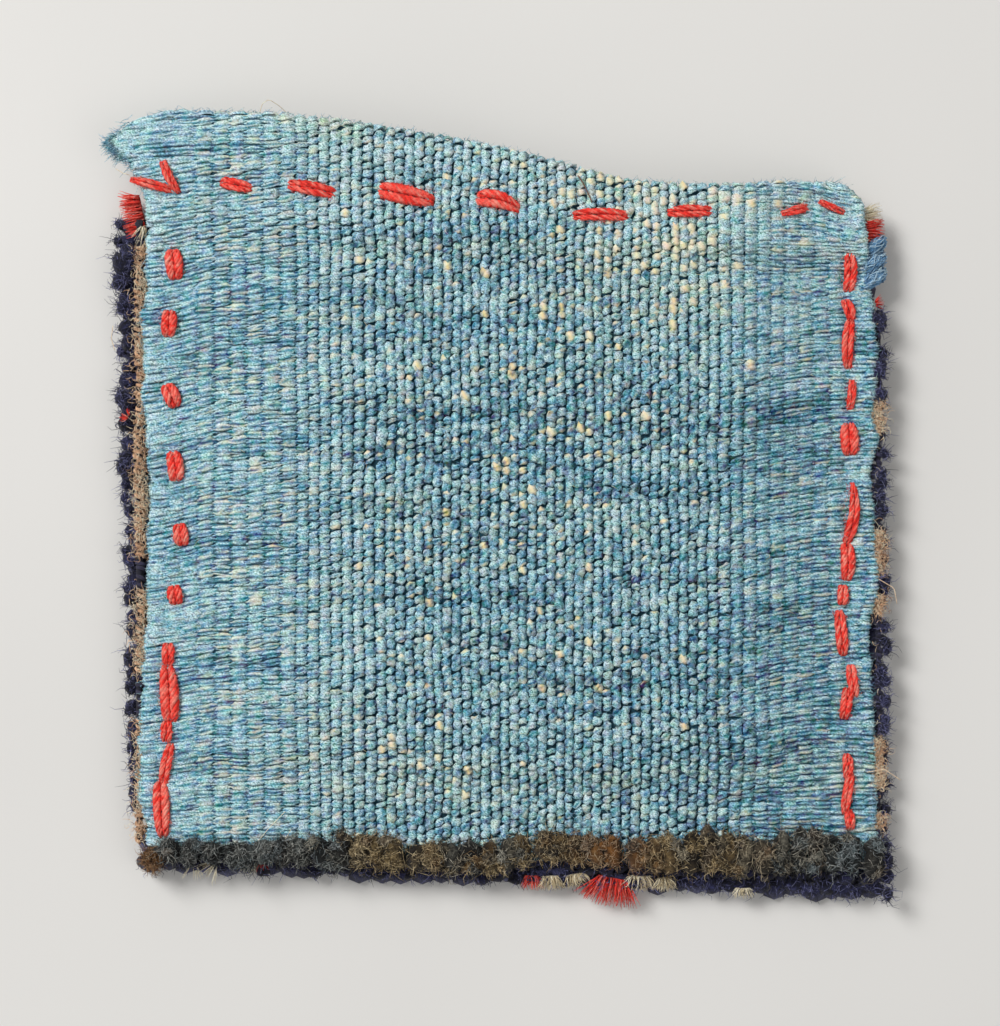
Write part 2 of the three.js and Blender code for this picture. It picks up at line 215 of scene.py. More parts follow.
def dent(x, y):
    """How far the stitches press the cloth down."""
    depth = np.zeros(np.broadcast(x, y).shape)
    for (x0, y0), (x1, y1), width, _ in LEFT_STITCHES + RIGHT_STITCHES + HEM_STITCHES:
        run_x, run_y = x1 - x0, y1 - y0
        along = np.clip(((x - x0) * run_x + (y - y0) * run_y) / (run_x**2 + run_y**2), 0, 1)
        away = np.hypot(x - x0 - run_x * along, y - y0 - run_y * along)
        depth = np.maximum(depth, DENT_DEPTH * np.exp(-((away / (DENT_REACH + width / 4)) ** 2)))
    return depth


def back_top(x, y):
    return back_height(x, y) + BEAD_TOP - dent(x, y)


# Tubes

def ring(sides):
    """The points round a tube of radius 1, from its across to its up direction."""
    turn = np.arange(sides) * 2 * np.pi / sides
    return np.stack([np.cos(turn), np.sin(turn)], axis=-1)


def frame_along(centres):
    """The across and up directions of tubes that follow these points, (tubes, rings, 3)."""
    along = unit(np.gradient(centres, axis=1))
    mean = unit(centres[:, -1:] - centres[:, :1])
    steep = np.abs(mean[..., 2:]) > 0.8
    across = unit(np.cross(along, np.where(steep, SIDEWAYS, UP)))
    return across, np.cross(across, along)


def follow(path, t):
    """Points along a path of evenly spaced points. t runs from 0 to 1, and straight on past the ends."""
    last = len(path) - 1
    held = np.clip(t, 0, 1)
    index = np.minimum((held * last).astype(int), last - 1)
    share = (held * last - index)[..., None]
    point = lerp(path[index], path[index + 1], share)
    end = np.where(t[..., None] < 0.5, path[1] - path[0], path[-1] - path[-2])
    return point + end * last * (t - held)[..., None]


def around(path, t):
    """The middle of a path at t, and the directions along it, across it and up from it there."""
    along = unit(follow(path, t + 0.04) - follow(path, t - 0.04))
    across = unit(np.cross(along, UP + 0.01))
    return follow(path, t), along, across, np.cross(across, along)


def bulge(t):
    """How plump a tuft is along its length: blunt at both ends."""
    return np.sqrt(np.maximum(1 - np.abs(2 * np.clip(t, 0, 1) - 1) ** 4, 0.03))


class Strands:
    """Closed tubes gathered into one mesh, with a tone, a tint and a fleck at each point."""

    KINDS = ("tone", "tint", "fleck")
    # A tube's square of the map: where its rings and its sides lie, and the middles and size of its two caps
    MAP_RINGS, MAP_SIDES = (0.06, 0.94), (0.04, 0.96)
    MAP_CAPS, MAP_CAP_SIZE = (0.025, 0.975), np.array([0.02, 0.4])

    def __init__(self, seed):
        self.rng = np.random.default_rng(seed)
        self.points = []
        self.shapes = []
        self.values = {kind: [] for kind in self.KINDS}

    def add(self, centres, across, up, section, tone, tint=0.0, fleck=0.0):
        """Tubes round centres (tubes, rings, 3). section (..., sides, 2) is in units of across and up.
        tone, tint and fleck are for each tube and ring, or for each side of each ring too."""
        section = np.broadcast_to(section, centres.shape[:2] + section.shape[-2:])
        shape = centres[:, :, None] + across[:, :, None] * section[..., :1]
        shape = shape + up[:, :, None] * section[..., 1:]
        shape[..., 2] = np.maximum(shape[..., 2], FLOOR_GAP)
        tubes, rings, sides = shape.shape[:3]
        self.points.append(shape.reshape(-1, 3))
        self.shapes.append((tubes, rings, sides))
        for kind, value in zip(self.KINDS, (tone, tint, fleck)):
            value = np.asarray(value, float)
            if value.ndim < 3:
                value = np.broadcast_to(value, (tubes, rings))[..., None]
            self.values[kind].append(np.broadcast_to(value, (tubes, rings, sides)).ravel())

    def tubes(self, centres, radius, sides, tone, tint=0.0, fleck=0.0):
        """Round tubes. radius is for each tube and ring."""
        across, up = frame_along(centres)
        size = np.broadcast_to(radius, centres.shape[:2])[..., None]
        self.add(centres, across * size, up * size, ring(sides), tone, tint, fleck)

    def fibres(self, roots, tips, bow, radius, tone, tint=0.0, rings=4, fleck=0.0):
        """Tapered fibres from roots to tips that bow out between them."""
        t = np.linspace(0, 1, rings)[None, :, None]
        centres = lerp(roots[:, None], tips[:, None], t) + bow[:, None] * 4 * t * (1 - t)
        size = np.reshape(radius, (-1, 1)) * (1 - 0.7 * t[..., 0])
        pick = [np.reshape(value, (-1, 1)) for value in (tone, tint, fleck)]
        self.tubes(centres, size, 3, *pick)

    def lock(self, path, radius, count, thickness, tone, rings=6):
        """A lock of wavy fibres along a path, most of them near the surface of a tube of that radius."""
        rng = self.rng
        first = rng.uniform(-0.02, 0.3, (count, 1))
        last = rng.uniform(0.7, 1.1, (count, 1))
        t = lerp(first, last, np.linspace(0, 1, rings)[None, :])
        middle, _, across, up = around(path, t)
        turn = rng.uniform(0, 2 * np.pi, (count, 1)) + rng.normal(0, 0.9, (count, 1)) * t
        turn = turn + rng.normal(0, 0.3, (count, rings))
        out = radius * bulge(t) * np.sqrt(rng.uniform(0.45, 1.12, (count, 1)))
        out = out * (1 + rng.normal(0, 0.12, (count, rings)))
        centres = middle + (across * np.cos(turn)[..., None] + up * np.sin(turn)[..., None]) * out[..., None]
        size = thickness * rng.uniform(0.7, 1.3, (count, 1)) * (1 - 0.5 * np.linspace(0, 1, rings)[None, :])
        # Painted light and shade: fibres on top of the lock are lighter, those underneath darker.
        shade = tone + rng.normal(0, 0.2, (count, 1)) + 0.12 * np.sin(turn)
        self.tubes(centres, size, 3, np.clip(shade, 0, 1))

    def body(self, path, radius, tone, tint=0.0, fleck=0.0, flat=1.0, rough=0.12, rings=7, sides=9,
             depth=0.0):
        """A plump closed body along a path, with an uneven surface. depth paints shade: a lighter top, darker
        sides.
        """
        rng = self.rng
        t = np.linspace(0, 1, rings)[None]
        middle, _, across, up = around(path, t)
        section = ring(sides) * rng.normal(1, rough, (1, rings, sides, 1)) * np.array([1.0, flat])
        section = section * (radius * bulge(t))[..., None, None]
        # Painted shade: by depth the top of the body is lighter and its sides and underside darker.
        shade = tone + depth * (ring(sides)[:, 1] - 0.7) + rng.normal(0, 0.14, (1, rings, sides))
        self.add(middle, across, up, section, np.clip(shade, 0, 1), tint, fleck)

    def fluff(self, path, radius, count, thickness, tone, tint=0.0, fleck=0.0, flat=1.0, reach=(0.8, 2.4),
              rings=7, sides=9, depth=0.2):
        """A soft tuft along a path: a rough body, painted dark as shade inside the tuft, under a coat of
        curly fibres, all but its underside.
        """
        rng = self.rng
        # Painted shade: the body is darker than the fibres that cover it.
        self.body(path, radius * 0.82, tone - 0.34, tint, fleck, flat, 0.16, rings, sides, depth)
        t = rng.uniform(-0.06, 1.06, count)
        turn = rng.uniform(-0.5, np.pi + 0.5, (count, 1))
        middle, along, across, up = around(path, t)
        out = across * np.cos(turn) + up * np.sin(turn) * flat
        beside = up * np.cos(turn) - across * np.sin(turn)
        root = middle + out * (radius * bulge(t))[:, None] * rng.uniform(0.82, 1.04, (count, 1))
        curl = rng.uniform(0, 2 * np.pi, (count, 1))
        lift = rng.normal(0.12, 0.32, (count, 1))
        length = rng.uniform(*reach, (count, 1)) * rng.choice([1.0, 1.9], (count, 1), p=[0.88, 0.12])
        tip = root + unit(along * np.cos(curl) + beside * np.sin(curl) + out * lift) * length
        bow = out * rng.uniform(0.05, 0.25, (count, 1)) + rng.normal(0, 0.16, (count, 3))
        # Painted shade: by depth the fibres at the tuft's sides and underside are darker than those on top.
        shade = tone + 0.2 + depth * (np.sin(turn[:, 0]) - 0.7) + rng.normal(0, 0.38, count)
        self.fibres(root, tip, bow * length, thickness, np.clip(shade, 0, 1), tint, rings=3, fleck=fleck)

    def sprout(self, root, away, reach, bow, thickness, tones, rings=3):
        """Fibres that stick out from their roots. reach and tones are ranges."""
        count = len(root)
        tip = root + away * self.rng.uniform(*reach, (count, 1))
        bows = self.rng.normal(0, bow, (count, 3))
        self.fibres(root, tip, bows, thickness, self.rng.uniform(*tones, count), rings=rings)

    def clump(self, centre, radius, away, count, tone):
        """A round clump of cut pile."""
        path = centre + unit(np.asarray(away, float)) * radius * np.linspace(-0.85, 0.7, 5)[:, None]
        self.fluff(path, radius, count, PILE_FIBRE, tone, reach=(0.7, 2.2))

    def brush(self, root, heading, fan, length, width, count, thickness, tone=0.55, curl=0.12):
        """Cut fibres that fan out and droop from a short root. Angles are in radians from +X."""
        rng = self.rng
        beside = rng.uniform(-0.5, 0.5, count)
        angle = heading + 2 * fan * beside + rng.normal(0, 0.14, count)
        aside = width * beside
        start = at(root[0] - np.sin(heading) * aside, root[1] + np.cos(heading) * aside,
                   root[2] + rng.normal(0, 0.45, count))
        reach = length * rng.uniform(0.6, 1.1, count)
        tip = start + at(np.cos(angle), np.sin(angle), rng.normal(-0.15, 0.16, count)) * reach[:, None]
        shade = np.clip(rng.normal(tone, 0.22, count), 0, 1)
        self.fibres(start, tip, rng.normal(0, curl, (count, 3)), thickness, shade)

    def build(self, name, material, columns=None):
        """The mesh object, with the tubes laid side by side on its map."""
        mesh = bpy.data.meshes.new(name)
        points = np.concatenate(self.points) * MM
        count = sum(tubes for tubes, _, _ in self.shapes)
        columns = columns or max(1, int(np.sqrt(count / 4)))
        cell = np.array([1 / columns, 1 / -(-count // columns)])
        loops, sizes, places = [], [], []
        first_point = first_tube = 0
        for tubes, rings, sides in self.shapes:
            index = first_point + np.arange(tubes * rings * sides).reshape(tubes, rings, sides)
            beside = np.roll(index, -1, axis=2)
            quads = np.stack([index[:, :-1], index[:, 1:], beside[:, 1:], beside[:, :-1]], axis=-1)
            number = first_tube + np.arange(tubes)
            corner = np.stack([number % columns, number // columns], axis=-1) * cell
            i = np.linspace(*self.MAP_RINGS, rings)
            k = np.linspace(*self.MAP_SIDES, sides + 1)
            corners = ((0, 0), (1, 0), (1, 1), (0, 1))
            square = [at(i[a:rings - 1 + a, None], k[None, b:sides + b]) for a, b in corners]
            square = np.stack(square, axis=2)
            loops += [quads.ravel()]
            sizes += [np.full(quads.size // 4, 4)]
            places += [(corner[:, None, None, None] + square[None] * cell).reshape(-1, 2)]
            for cap, middle in zip((index[:, 0], index[:, -1, ::-1]), self.MAP_CAPS):
                small = np.array([middle, 0.5]) + ring(sides) * self.MAP_CAP_SIZE
                loops += [cap.ravel()]
                sizes += [np.full(tubes, sides)]
                places += [(corner[:, None] + small[None] * cell).reshape(-1, 2)]
            first_point += index.size
            first_tube += tubes
        loops, sizes = np.concatenate(loops), np.concatenate(sizes)
        mesh.vertices.add(len(points))
        mesh.vertices.foreach_set("co", points.ravel())
        mesh.loops.add(len(loops))
        mesh.loops.foreach_set("vertex_index", loops.astype(np.int32))
        mesh.polygons.add(len(sizes))
        mesh.polygons.foreach_set("loop_start", (np.cumsum(sizes) - sizes).astype(np.int32))
        mesh.polygons.foreach_set("use_smooth", np.ones(len(sizes), bool))
        write_values(mesh, [np.concatenate(self.values[kind]) for kind in self.KINDS])
        layer = mesh.uv_layers.new(name=BAKE_MAP)
        layer.uv.foreach_set("vector", np.concatenate(places).ravel().astype(np.float32))
        return place(name, mesh, material)


def write_values(mesh, values):
    """Give a mesh its tone, tint and fleck at each point."""
    for kind, value in zip(Strands.KINDS, values):
        layer = mesh.attributes.new(kind, "FLOAT", "POINT")
        layer.data.foreach_set("value", value.astype(np.float32))
    mesh.update()


def place(name, mesh, material):
    mesh.materials.append(material)
    obj = bpy.data.objects.new(name, mesh)
    bpy.context.scene.collection.objects.link(obj)
    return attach(obj, "root")


# Materials

def linear(red, green, blue):
    """A colour as a screen shows it, from 0 to 255, as light."""
    share = np.array([red, green, blue]) / 255
    light = np.where(share <= 0.04045, share / 12.92, ((share + 0.055) / 1.055) ** 2.4)
    return (*light.tolist(), 1.0)


def add_node(tree, kind, inputs=None, **settings):
    """A node with its inputs, by name or number: other nodes' sockets, or values."""
    node = tree.nodes.new(kind)
    for key, value in settings.items():
        setattr(node, key, value)
    for key, value in (inputs or {}).items():
        if isinstance(value, bpy.types.NodeSocket):
            tree.links.new(value, node.inputs[key])
        else:
            node.inputs[key].default_value = value
    return node


def mixed(tree, factor, first, second, blend="MIX"):
    """The colour between two others, sockets or colours."""
    inputs = {0: factor, 6: first, 7: second}
    node = add_node(tree, "ShaderNodeMix", inputs, data_type="RGBA", blend_type=blend, clamp_result=True)
    return node.outputs[2]


def ramp(tree, factor, *stops):
    node = add_node(tree, "ShaderNodeValToRGB", {"Fac": factor})
    elements = node.color_ramp.elements
    while len(elements) < len(stops):
        elements.new(0.5)
    for element, (position, colour) in zip(elements, stops):
        element.position = position
        element.color = colour
    return node.outputs["Color"]


def shades(colour):
    """A colour with its own dark and light, as the stops of a ramp."""
    colour = np.array(colour)
    return (0.0, linear(*(0.2 * colour))), (0.5, linear(*colour)), (1.0, linear(*lerp(colour, 255, 0.4)))


HUE_PATCH = 1.7  # size of the patches of differing hue in the wool


def wool(name, dark, middle, light, tint, fleck=(255, 228, 166), grain=(0.6, 0.6, 0.6), lean=0.0,
         contrast=0.4, bump=0.5, sheen=0.12, roughness=0.9, hues=0.0):
    """Spun wool: tone runs from dark to light, tint and fleck mix in other colours, and fine fibres show.
    grain is the size of the fibres' pattern, turned by lean. hues is how much the specks differ in hue."""
    material = bpy.data.materials.new(name)
    material.use_nodes = True
    tree = material.node_tree
    shader = tree.nodes["Principled BSDF"]
    tone, tinted, flecked = [
        add_node(tree, "ShaderNodeAttribute", attribute_name=kind).outputs["Fac"] for kind in Strands.KINDS
    ]
    colour = ramp(tree, tone, (0.0, linear(*dark)), (0.5, linear(*middle)), (1.0, linear(*light)))
    colour = mixed(tree, tinted, colour, ramp(tree, tone, *shades(tint)))
    where = add_node(tree, "ShaderNodeTexCoord").outputs["Object"]
    turned = add_node(tree, "ShaderNodeMapping", {"Vector": where, "Rotation": (0.0, 0.0, lean),
                                                  "Scale": [g * MM for g in grain]}, vector_type="TEXTURE")
    fine = add_node(tree, "ShaderNodeTexNoise", {"Vector": turned.outputs[0], "Scale": 1.0, "Detail": 5.0,
                                               "Roughness": 0.65})
    low, high = 1 - contrast, 1 + 0.75 * contrast
    shade = ramp(tree, fine.outputs["Fac"], (0.34, (low, low, low, 1)), (0.66, (high, high, high, 1)))
    colour = mixed(tree, 1.0, colour, shade, "MULTIPLY")
    colour = mixed(tree, flecked, colour, ramp(tree, tone, *shades(fleck)))
    if hues:
        patches = {"Vector": where, "Scale": 1 / (HUE_PATCH * MM), "Detail": 1.0}
        broad = add_node(tree, "ShaderNodeTexNoise", patches)
        colour = mixed(tree, hues, colour, fine.outputs["Color"], "LINEAR_LIGHT")
        colour = mixed(tree, 0.8 * hues, colour, broad.outputs["Color"], "LINEAR_LIGHT")
    tree.links.new(colour, shader.inputs["Base Color"])
    rough = add_node(tree, "ShaderNodeMapRange", {"Value": fine.outputs["Fac"], "To Min": roughness - 0.1,
                                                  "To Max": roughness + 0.08})
    tree.links.new(rough.outputs["Result"], shader.inputs["Roughness"])
    relief = add_node(tree, "ShaderNodeBump", {"Height": fine.outputs["Fac"], "Strength": bump,
                                               "Distance": 0.4 * MM})
    tree.links.new(relief.outputs["Normal"], shader.inputs["Normal"])
    shader.inputs["Sheen Weight"].default_value = sheen
    shader.inputs["Sheen Roughness"].default_value = 0.6
    shader.inputs["Specular IOR Level"].default_value = 0.2
    return material


BLUE_WOOL = wool("blue_wool", (12, 62, 88), (120, 176, 200), (202, 238, 244), (172, 206, 184),
                 grain=(0.45, 0.25, 0.3), lean=-0.4, contrast=0.9, hues=0.15)
DEEP_BLUE = wool("deep_blue_wool", (22, 52, 92), (112, 164, 206), (206, 234, 246), (172, 206, 190),
                 grain=(1.3, 0.42, 0.6), lean=0.8)
# Painted shade: the ground is dark teal to stand for the shadow in the gaps between the wefts.
GROUND_SHADE_WOOL = wool("ground_shade_wool", (12, 44, 56), (28, 70, 86), (52, 100, 116), (62, 50, 40),
                   grain=(0.9, 2.0, 1.0))
NAVY_PILE = wool("navy_pile", (12, 12, 30), (44, 46, 82), (120, 122, 170), (70, 60, 52),
                 grain=(0.5, 0.5, 0.5), contrast=0.8, sheen=0.15)
BROWN_PILE = wool("brown_pile", (26, 18, 8), (116, 98, 66), (206, 184, 140), (96, 108, 110),
                  fleck=(144, 92, 42), contrast=0.85, sheen=0.1)
RED_WOOL = wool("red_wool", (176, 8, 4), (255, 66, 54), (255, 156, 138), (120, 20, 40),
                contrast=0.42, sheen=0.05)
GOLDEN_HAIR = wool("golden_hair", (122, 82, 62), (240, 194, 154), (255, 240, 210), (60, 58, 84),
                   roughness=0.75)
IVORY_PILE = wool("ivory_pile", (176, 150, 108), (240, 222, 182), (255, 246, 222), (210, 160, 110),
                  contrast=0.25, sheen=0.2)


# The blue back: every weft is a doubled yarn that goes over and under the warps

# Places along x, and from one warp to the next there
WARP_PITCHES = [(-84, 3.74), (-48, 3.7), (-44, 2.5), (-28, 2.45), (-24, 2.07), (43, 2.07), (50, 2.7),
                (62, 3.3), (86, 3.7)]
FIRST_ROW = BASE_Y + 2.0
ROWS = 184
OVER_STEPS = (-0.48, -0.3, 0.0, 0.3, 0.48)  # places of the rings on the stretch that passes over a warp
TURN = 0.12  # share of a warp's pitch in which a weft turns down at the rim
EDGE_OUT = 0.6  # how much further out the turned yarn reaches
# How far the rims of the back lie from their straight lines, from the base up
LEFT_EDGE = [(-78, 0.6), (-71, 1.0), (-64, -1.1), (-51, -1.1), (-32, 0.0), (-25, 0.8), (-5, 0.8), (1, 1.8),
             (8, 1.5), (15, 0.7), (21, -0.2), (34, -0.2), (41, -1.1), (48, 1.2), (54, 0.4), (61, 1.2),
             (67, 1.0), (71, -0.6), (75, -3.0), (78, -6.4), (80, -7.8), (82, -6.6), (85, -3.0), (92, -2.0)]
RIGHT_EDGE = [(-78, 0.9), (-51, 0.4), (-31, -0.9), (-25, -1.0), (-18, 1.2), (1, 0.0), (8, -0.8), (15, 1.2),
              (21, 0.0), (34, 1.3), (48, -0.8), (60, -1.8), (67, -2.6), (72, -4.0), (90, -6.0)]
# Places with pale flecks: middle, half width, half height and the share of flecked stitches
FLECKED = [((36, 58), (20, 15), 0.7), ((2, 69), (30, 5), 0.4), ((5, 15), (38, 50), 0.24),
           ((-26, -59), (16, 8), 0.5), ((-22, 24), (4, 4), 0.4), ((-20, -12), (14, 12), 0.22)]


def warp_phase():
    """Where each warp lies, counted from the left: pairs of the count and the place."""
    places, pitches = zip(*WARP_PITCHES)
    x = np.linspace(places[0], places[-1], 2000)
    count = np.concatenate([[0], np.cumsum(np.diff(x) / np.interp(x[1:], places, pitches))])
    return count, x


def edge_shift(edge, y):
    places, shifts = zip(*edge)
    return np.interp(y, places, shifts)


def cloth_at(x, y, lift):
    """A point on the back, lift above the middle of the cloth. Past the fold it goes round into the hem."""
    fold = fold_line(x) - round_corner(x)
    past = np.maximum(y - fold, 0)
    turn = np.clip(past / FOLD_RADIUS, 0, np.pi)
    inside = np.maximum(past - np.pi * FOLD_RADIUS, 0)
    middle = back_height(x, np.minimum(y, fold)) - dent(x, np.minimum(y, fold)) * (turn < 0.01)
    reach = FOLD_RADIUS + lift
    along = np.where(past > 0, fold + reach * np.sin(turn) - inside, y)
    return at(x, along, middle - FOLD_RADIUS + reach * np.cos(turn)), at(0 * x, np.sin(turn), np.cos(turn))


def row_line(level, x):
    """Where a weft lies: level at the middle, it follows the slanted base and partly the sloping mouth."""
    # The left margin droops and the right one lifts, and both corners of the mouth droop
    y = level - BASE_SLANT * x * fall(level, -77, -20)
    y = y - 0.34 * rise(level, 25, 88) * (FOLD_LEFT - fold_line(x))
    within = rise(level, -76, -60) * fall(level, 60, 80)
    y = y - within * (2.2 * fall(x, -80, -62) + 0.9 * fall(x, -66, -40))
    y = y + 3.0 * rise(x, 46, 76) * rise(level, -74, -50) * fall(level, 36, 56)
    y = y - rise(level, 64, 88) * 3.0 * fall(x, -82, -62) ** 2
    return y - rise(level, 50, 80) * 3.0 * rise(x, 62, 80) ** 2


PUSH = 1.0  # how far the side stitches push the wefts that they part
PUSH_REACH = 8.0


def push_aside(x, y):
    """How far up the side stitches shift the wefts."""
    shift = np.zeros(np.broadcast(x, y).shape)
    for (x0, y0), (x1, y1), _, _ in LEFT_STITCHES + RIGHT_STITCHES:
        across = (x - (x0 + x1) / 2) / PUSH_REACH
        along = (y - (y0 + y1) / 2) / (abs(y1 - y0) / 2 + 1.5)
        shift = shift + PUSH * along * np.exp(-(across**2) - along**2)
    return shift


def bunch(y, rows):
    """How the wefts bunch up at a rim: from 0 beside a stitch to 1 between two of them."""
    beside = np.zeros_like(y)
    for (_, y0), (_, y1), _, _ in rows:
        beside = np.maximum(beside, np.exp(-(((y - (y0 + y1) / 2) / (abs(y1 - y0) / 2 + 0.6)) ** 4)))
    return 1 - beside


# Bands of paler, greener yarn: middle and half height
PALE_BANDS = [(57.5, 1.6), (30.0, 2.0), (-0.8, 2.4), (-59.0, 5.0)]
# Round a weft: its two edges, its two strands with the crease between them, and its underside
WEFT_ROUND = np.array([(1.0, 0.0), (0.56, 0.84), (0.0, 1.0), (-0.56, 0.84), (-1.0, 0.0), (0.0, -0.9)])
CREASE_SIDE = 2
STRAND_OF_SIDE = (0, 0, 0, 1, 1, 1)
EDGE_SHADE = np.array([-0.28, 0.05, 0.05, 0.05, -0.28, -0.4])
FEWEST_RINGS = 6  # a weft with less than this left below the fold isn't made

# The margins are woven looser, with long slanting floats: where they begin and end, along x
LEFT_MARGIN, RIGHT_MARGIN = (-54, -22), (40, 66)
LEFT_SMOOTH = (-73, -63)  # where the wefts of the left margin stop diving
RIGHT_SMOOTH = 0.7  # how far those of the right margin do
RIM = 8.0  # width of the rims, which draw the wefts into bundles
RIM_PULL = 14.0  # how far in from a rim its uneven line is felt
MINT_X = -38  # middle of a paler, greener place at the fold

# Numbers in pairs, for the middle of the back and for its margins
BEAD_FROM, BEAD_TO = (0.18, 0.24), (0.49, 0.54)  # where beside a warp a weft begins to dive, and ends
BEAD_RISE = (0.45, 0.18)  # how far a weft stands up where it passes over a warp
DIVE, SMOOTH_DIVE = (1, 0.62), 0.1  # how deep it dives, and where the margins are smooth
LEAN, LEAN_SPREAD = (0.8, 0.48), (1.8, 1)  # its rise to the right over one warp, and how that varies
TALL, THICK = (1.1, 0.95), (0.46, 0.42)  # half the size of a bead, along the cloth and out of it
UNEVEN = (0.24, 0.1)  # how uneven a weft is round its section
CREASE, CREASE_DARK = (0.62, -0.1), (0.2, 0.78)  # height and shade of the crease between its strands
TONE, STREAKS = (0.21, 0.36), (0.08, 0.12)  # lightness, and streaks of it along a weft
BEAD_TONE, BEAD_TINT = (0.65, 0.3), (0.8, 0.2)  # how much the beads differ
GAP_DARK, EDGE_DARK = (0.45, 0.46), (0.3, 1)  # shade between the beads and at a weft's edges
SPECKS, LIME = (0.24, 0.18), (0.45, 0.75)  # differences from point to point, and pale green ones
FLECKS = (1, 0.2)  # share of the flecks that show


def weft_line(row, x, phase, warp, margin, smooth, rim, slant, shift, rng):
    """Where the rings of a weft lie on the back, x and y."""
    same = np.full_like(x, row)
    y = row_line(FIRST_ROW + row * ROW_PITCH, x)
    y = y + 0.13 * noise(x / 4, same / 1.7, 3) + 0.3 * noise(x / 22, y / 14, 6)
    y = y + (0.3 * margin + 0.4 * rim) * noise(x / 11, y / 2.4, 4) + push_aside(x, y)
    lean = lerp(LEAN[0], LEAN[1] - 0.26 * rise(x, -70, -58), margin) + slant * lerp(*LEAN_SPREAD, margin)
    y = y + lean * (1 - smooth) * (phase - warp) + rng.normal(0, 0.05, len(x))
    y = y + 0.11 * (1 - margin) * shift[0]
    x = x + 0.4 * noise(x / 9, y / 11, 7) * (1 - rim) + 0.12 * noise(x / 2, same, 10)
    x = x + 0.12 * (1 - margin) * shift[1]
    x = x + fall(x, BACK_LEFT, BACK_LEFT + RIM_PULL) * (edge_shift(LEFT_EDGE, y) - EDGE_OUT)
    x = x + rise(x, BACK_RIGHT - RIM_PULL, BACK_RIGHT) * (edge_shift(RIGHT_EDGE, y) + EDGE_OUT)
    return x + rim * 0.6 * noise(same / 2.2, x / 60, 8), y


def weft_tone(x, y, same, margin, right, rim, between, mint):
    """How light a weft is along its length, apart from its own beads and strands."""
    tone = 0.55 + 0.2 * noise(x / 30, same / 2.6, 21) + lerp(*STREAKS, margin) * noise(x / 9, same * 1.3, 22)
    tone = tone + lerp(*TONE, margin) - 0.08 * right
    tone = tone + 0.2 * rise(y, 40, 80) + rim * lerp(0.06, 0.24, between)
    tone = tone + 0.24 * hump(x, 46, 34) * hump(y, 56, 20) + 0.15 * hump(x, MINT_X, 16)
    return tone + (0.08 - 0.16 * rise(x, 30, 50)) * fall(y, -60, -30) + 0.2 * mint


def weft_tint(x, y, same, margin, right, rim, mint, stain):
    """How green a weft is along its length."""
    band = sum(hump(y, *band) for band in PALE_BANDS)
    tint = 0.05 + 0.24 * noise(x / 22, same * 0.6, 23) + stain * lerp(*BEAD_TINT, margin)
    tint = tint + 0.3 * rise(x, 0, 40) * (1 - right) * rise(y, 10, 50) - 0.2 * rim + 0.6 * mint
    return tint + 0.5 * band * np.maximum(noise(x / 14, same / 2, 24) + 0.3, 0)


def weft_fleck(x, y, same, margin, off, to_fold, chance, strength, half):
    """How pale the flecked beads are. Flecks come in runs along a yarn, most of them on one strand."""
    share = sum(s * hump(x, cx, w) * hump(y, cy, h) for (cx, cy), (w, h), s in FLECKED)
    run = np.clip(0.5 + 2.5 * noise(x / 13, 1.37 * same, 28), 0, 2.5)
    near_fold = hump(to_fold, -2.5, 1.8) * rise(x, -38, -32)
    fleck = chance < (share + 0.45 * near_fold) * run * lerp(*FLECKS, margin)
    fleck = fleck * strength * np.interp(off, [0.0, 0.3, 0.48], [1.0, 0.3, 0.0])
    whole = strength > lerp(0.93, 0.8, rise(x, 5, 25) * rise(y, 35, 50))
    return fleck[:, None] * (whole[:, None] | (WEFT_ROUND[:, 0] * half[:, None] > 0.1))


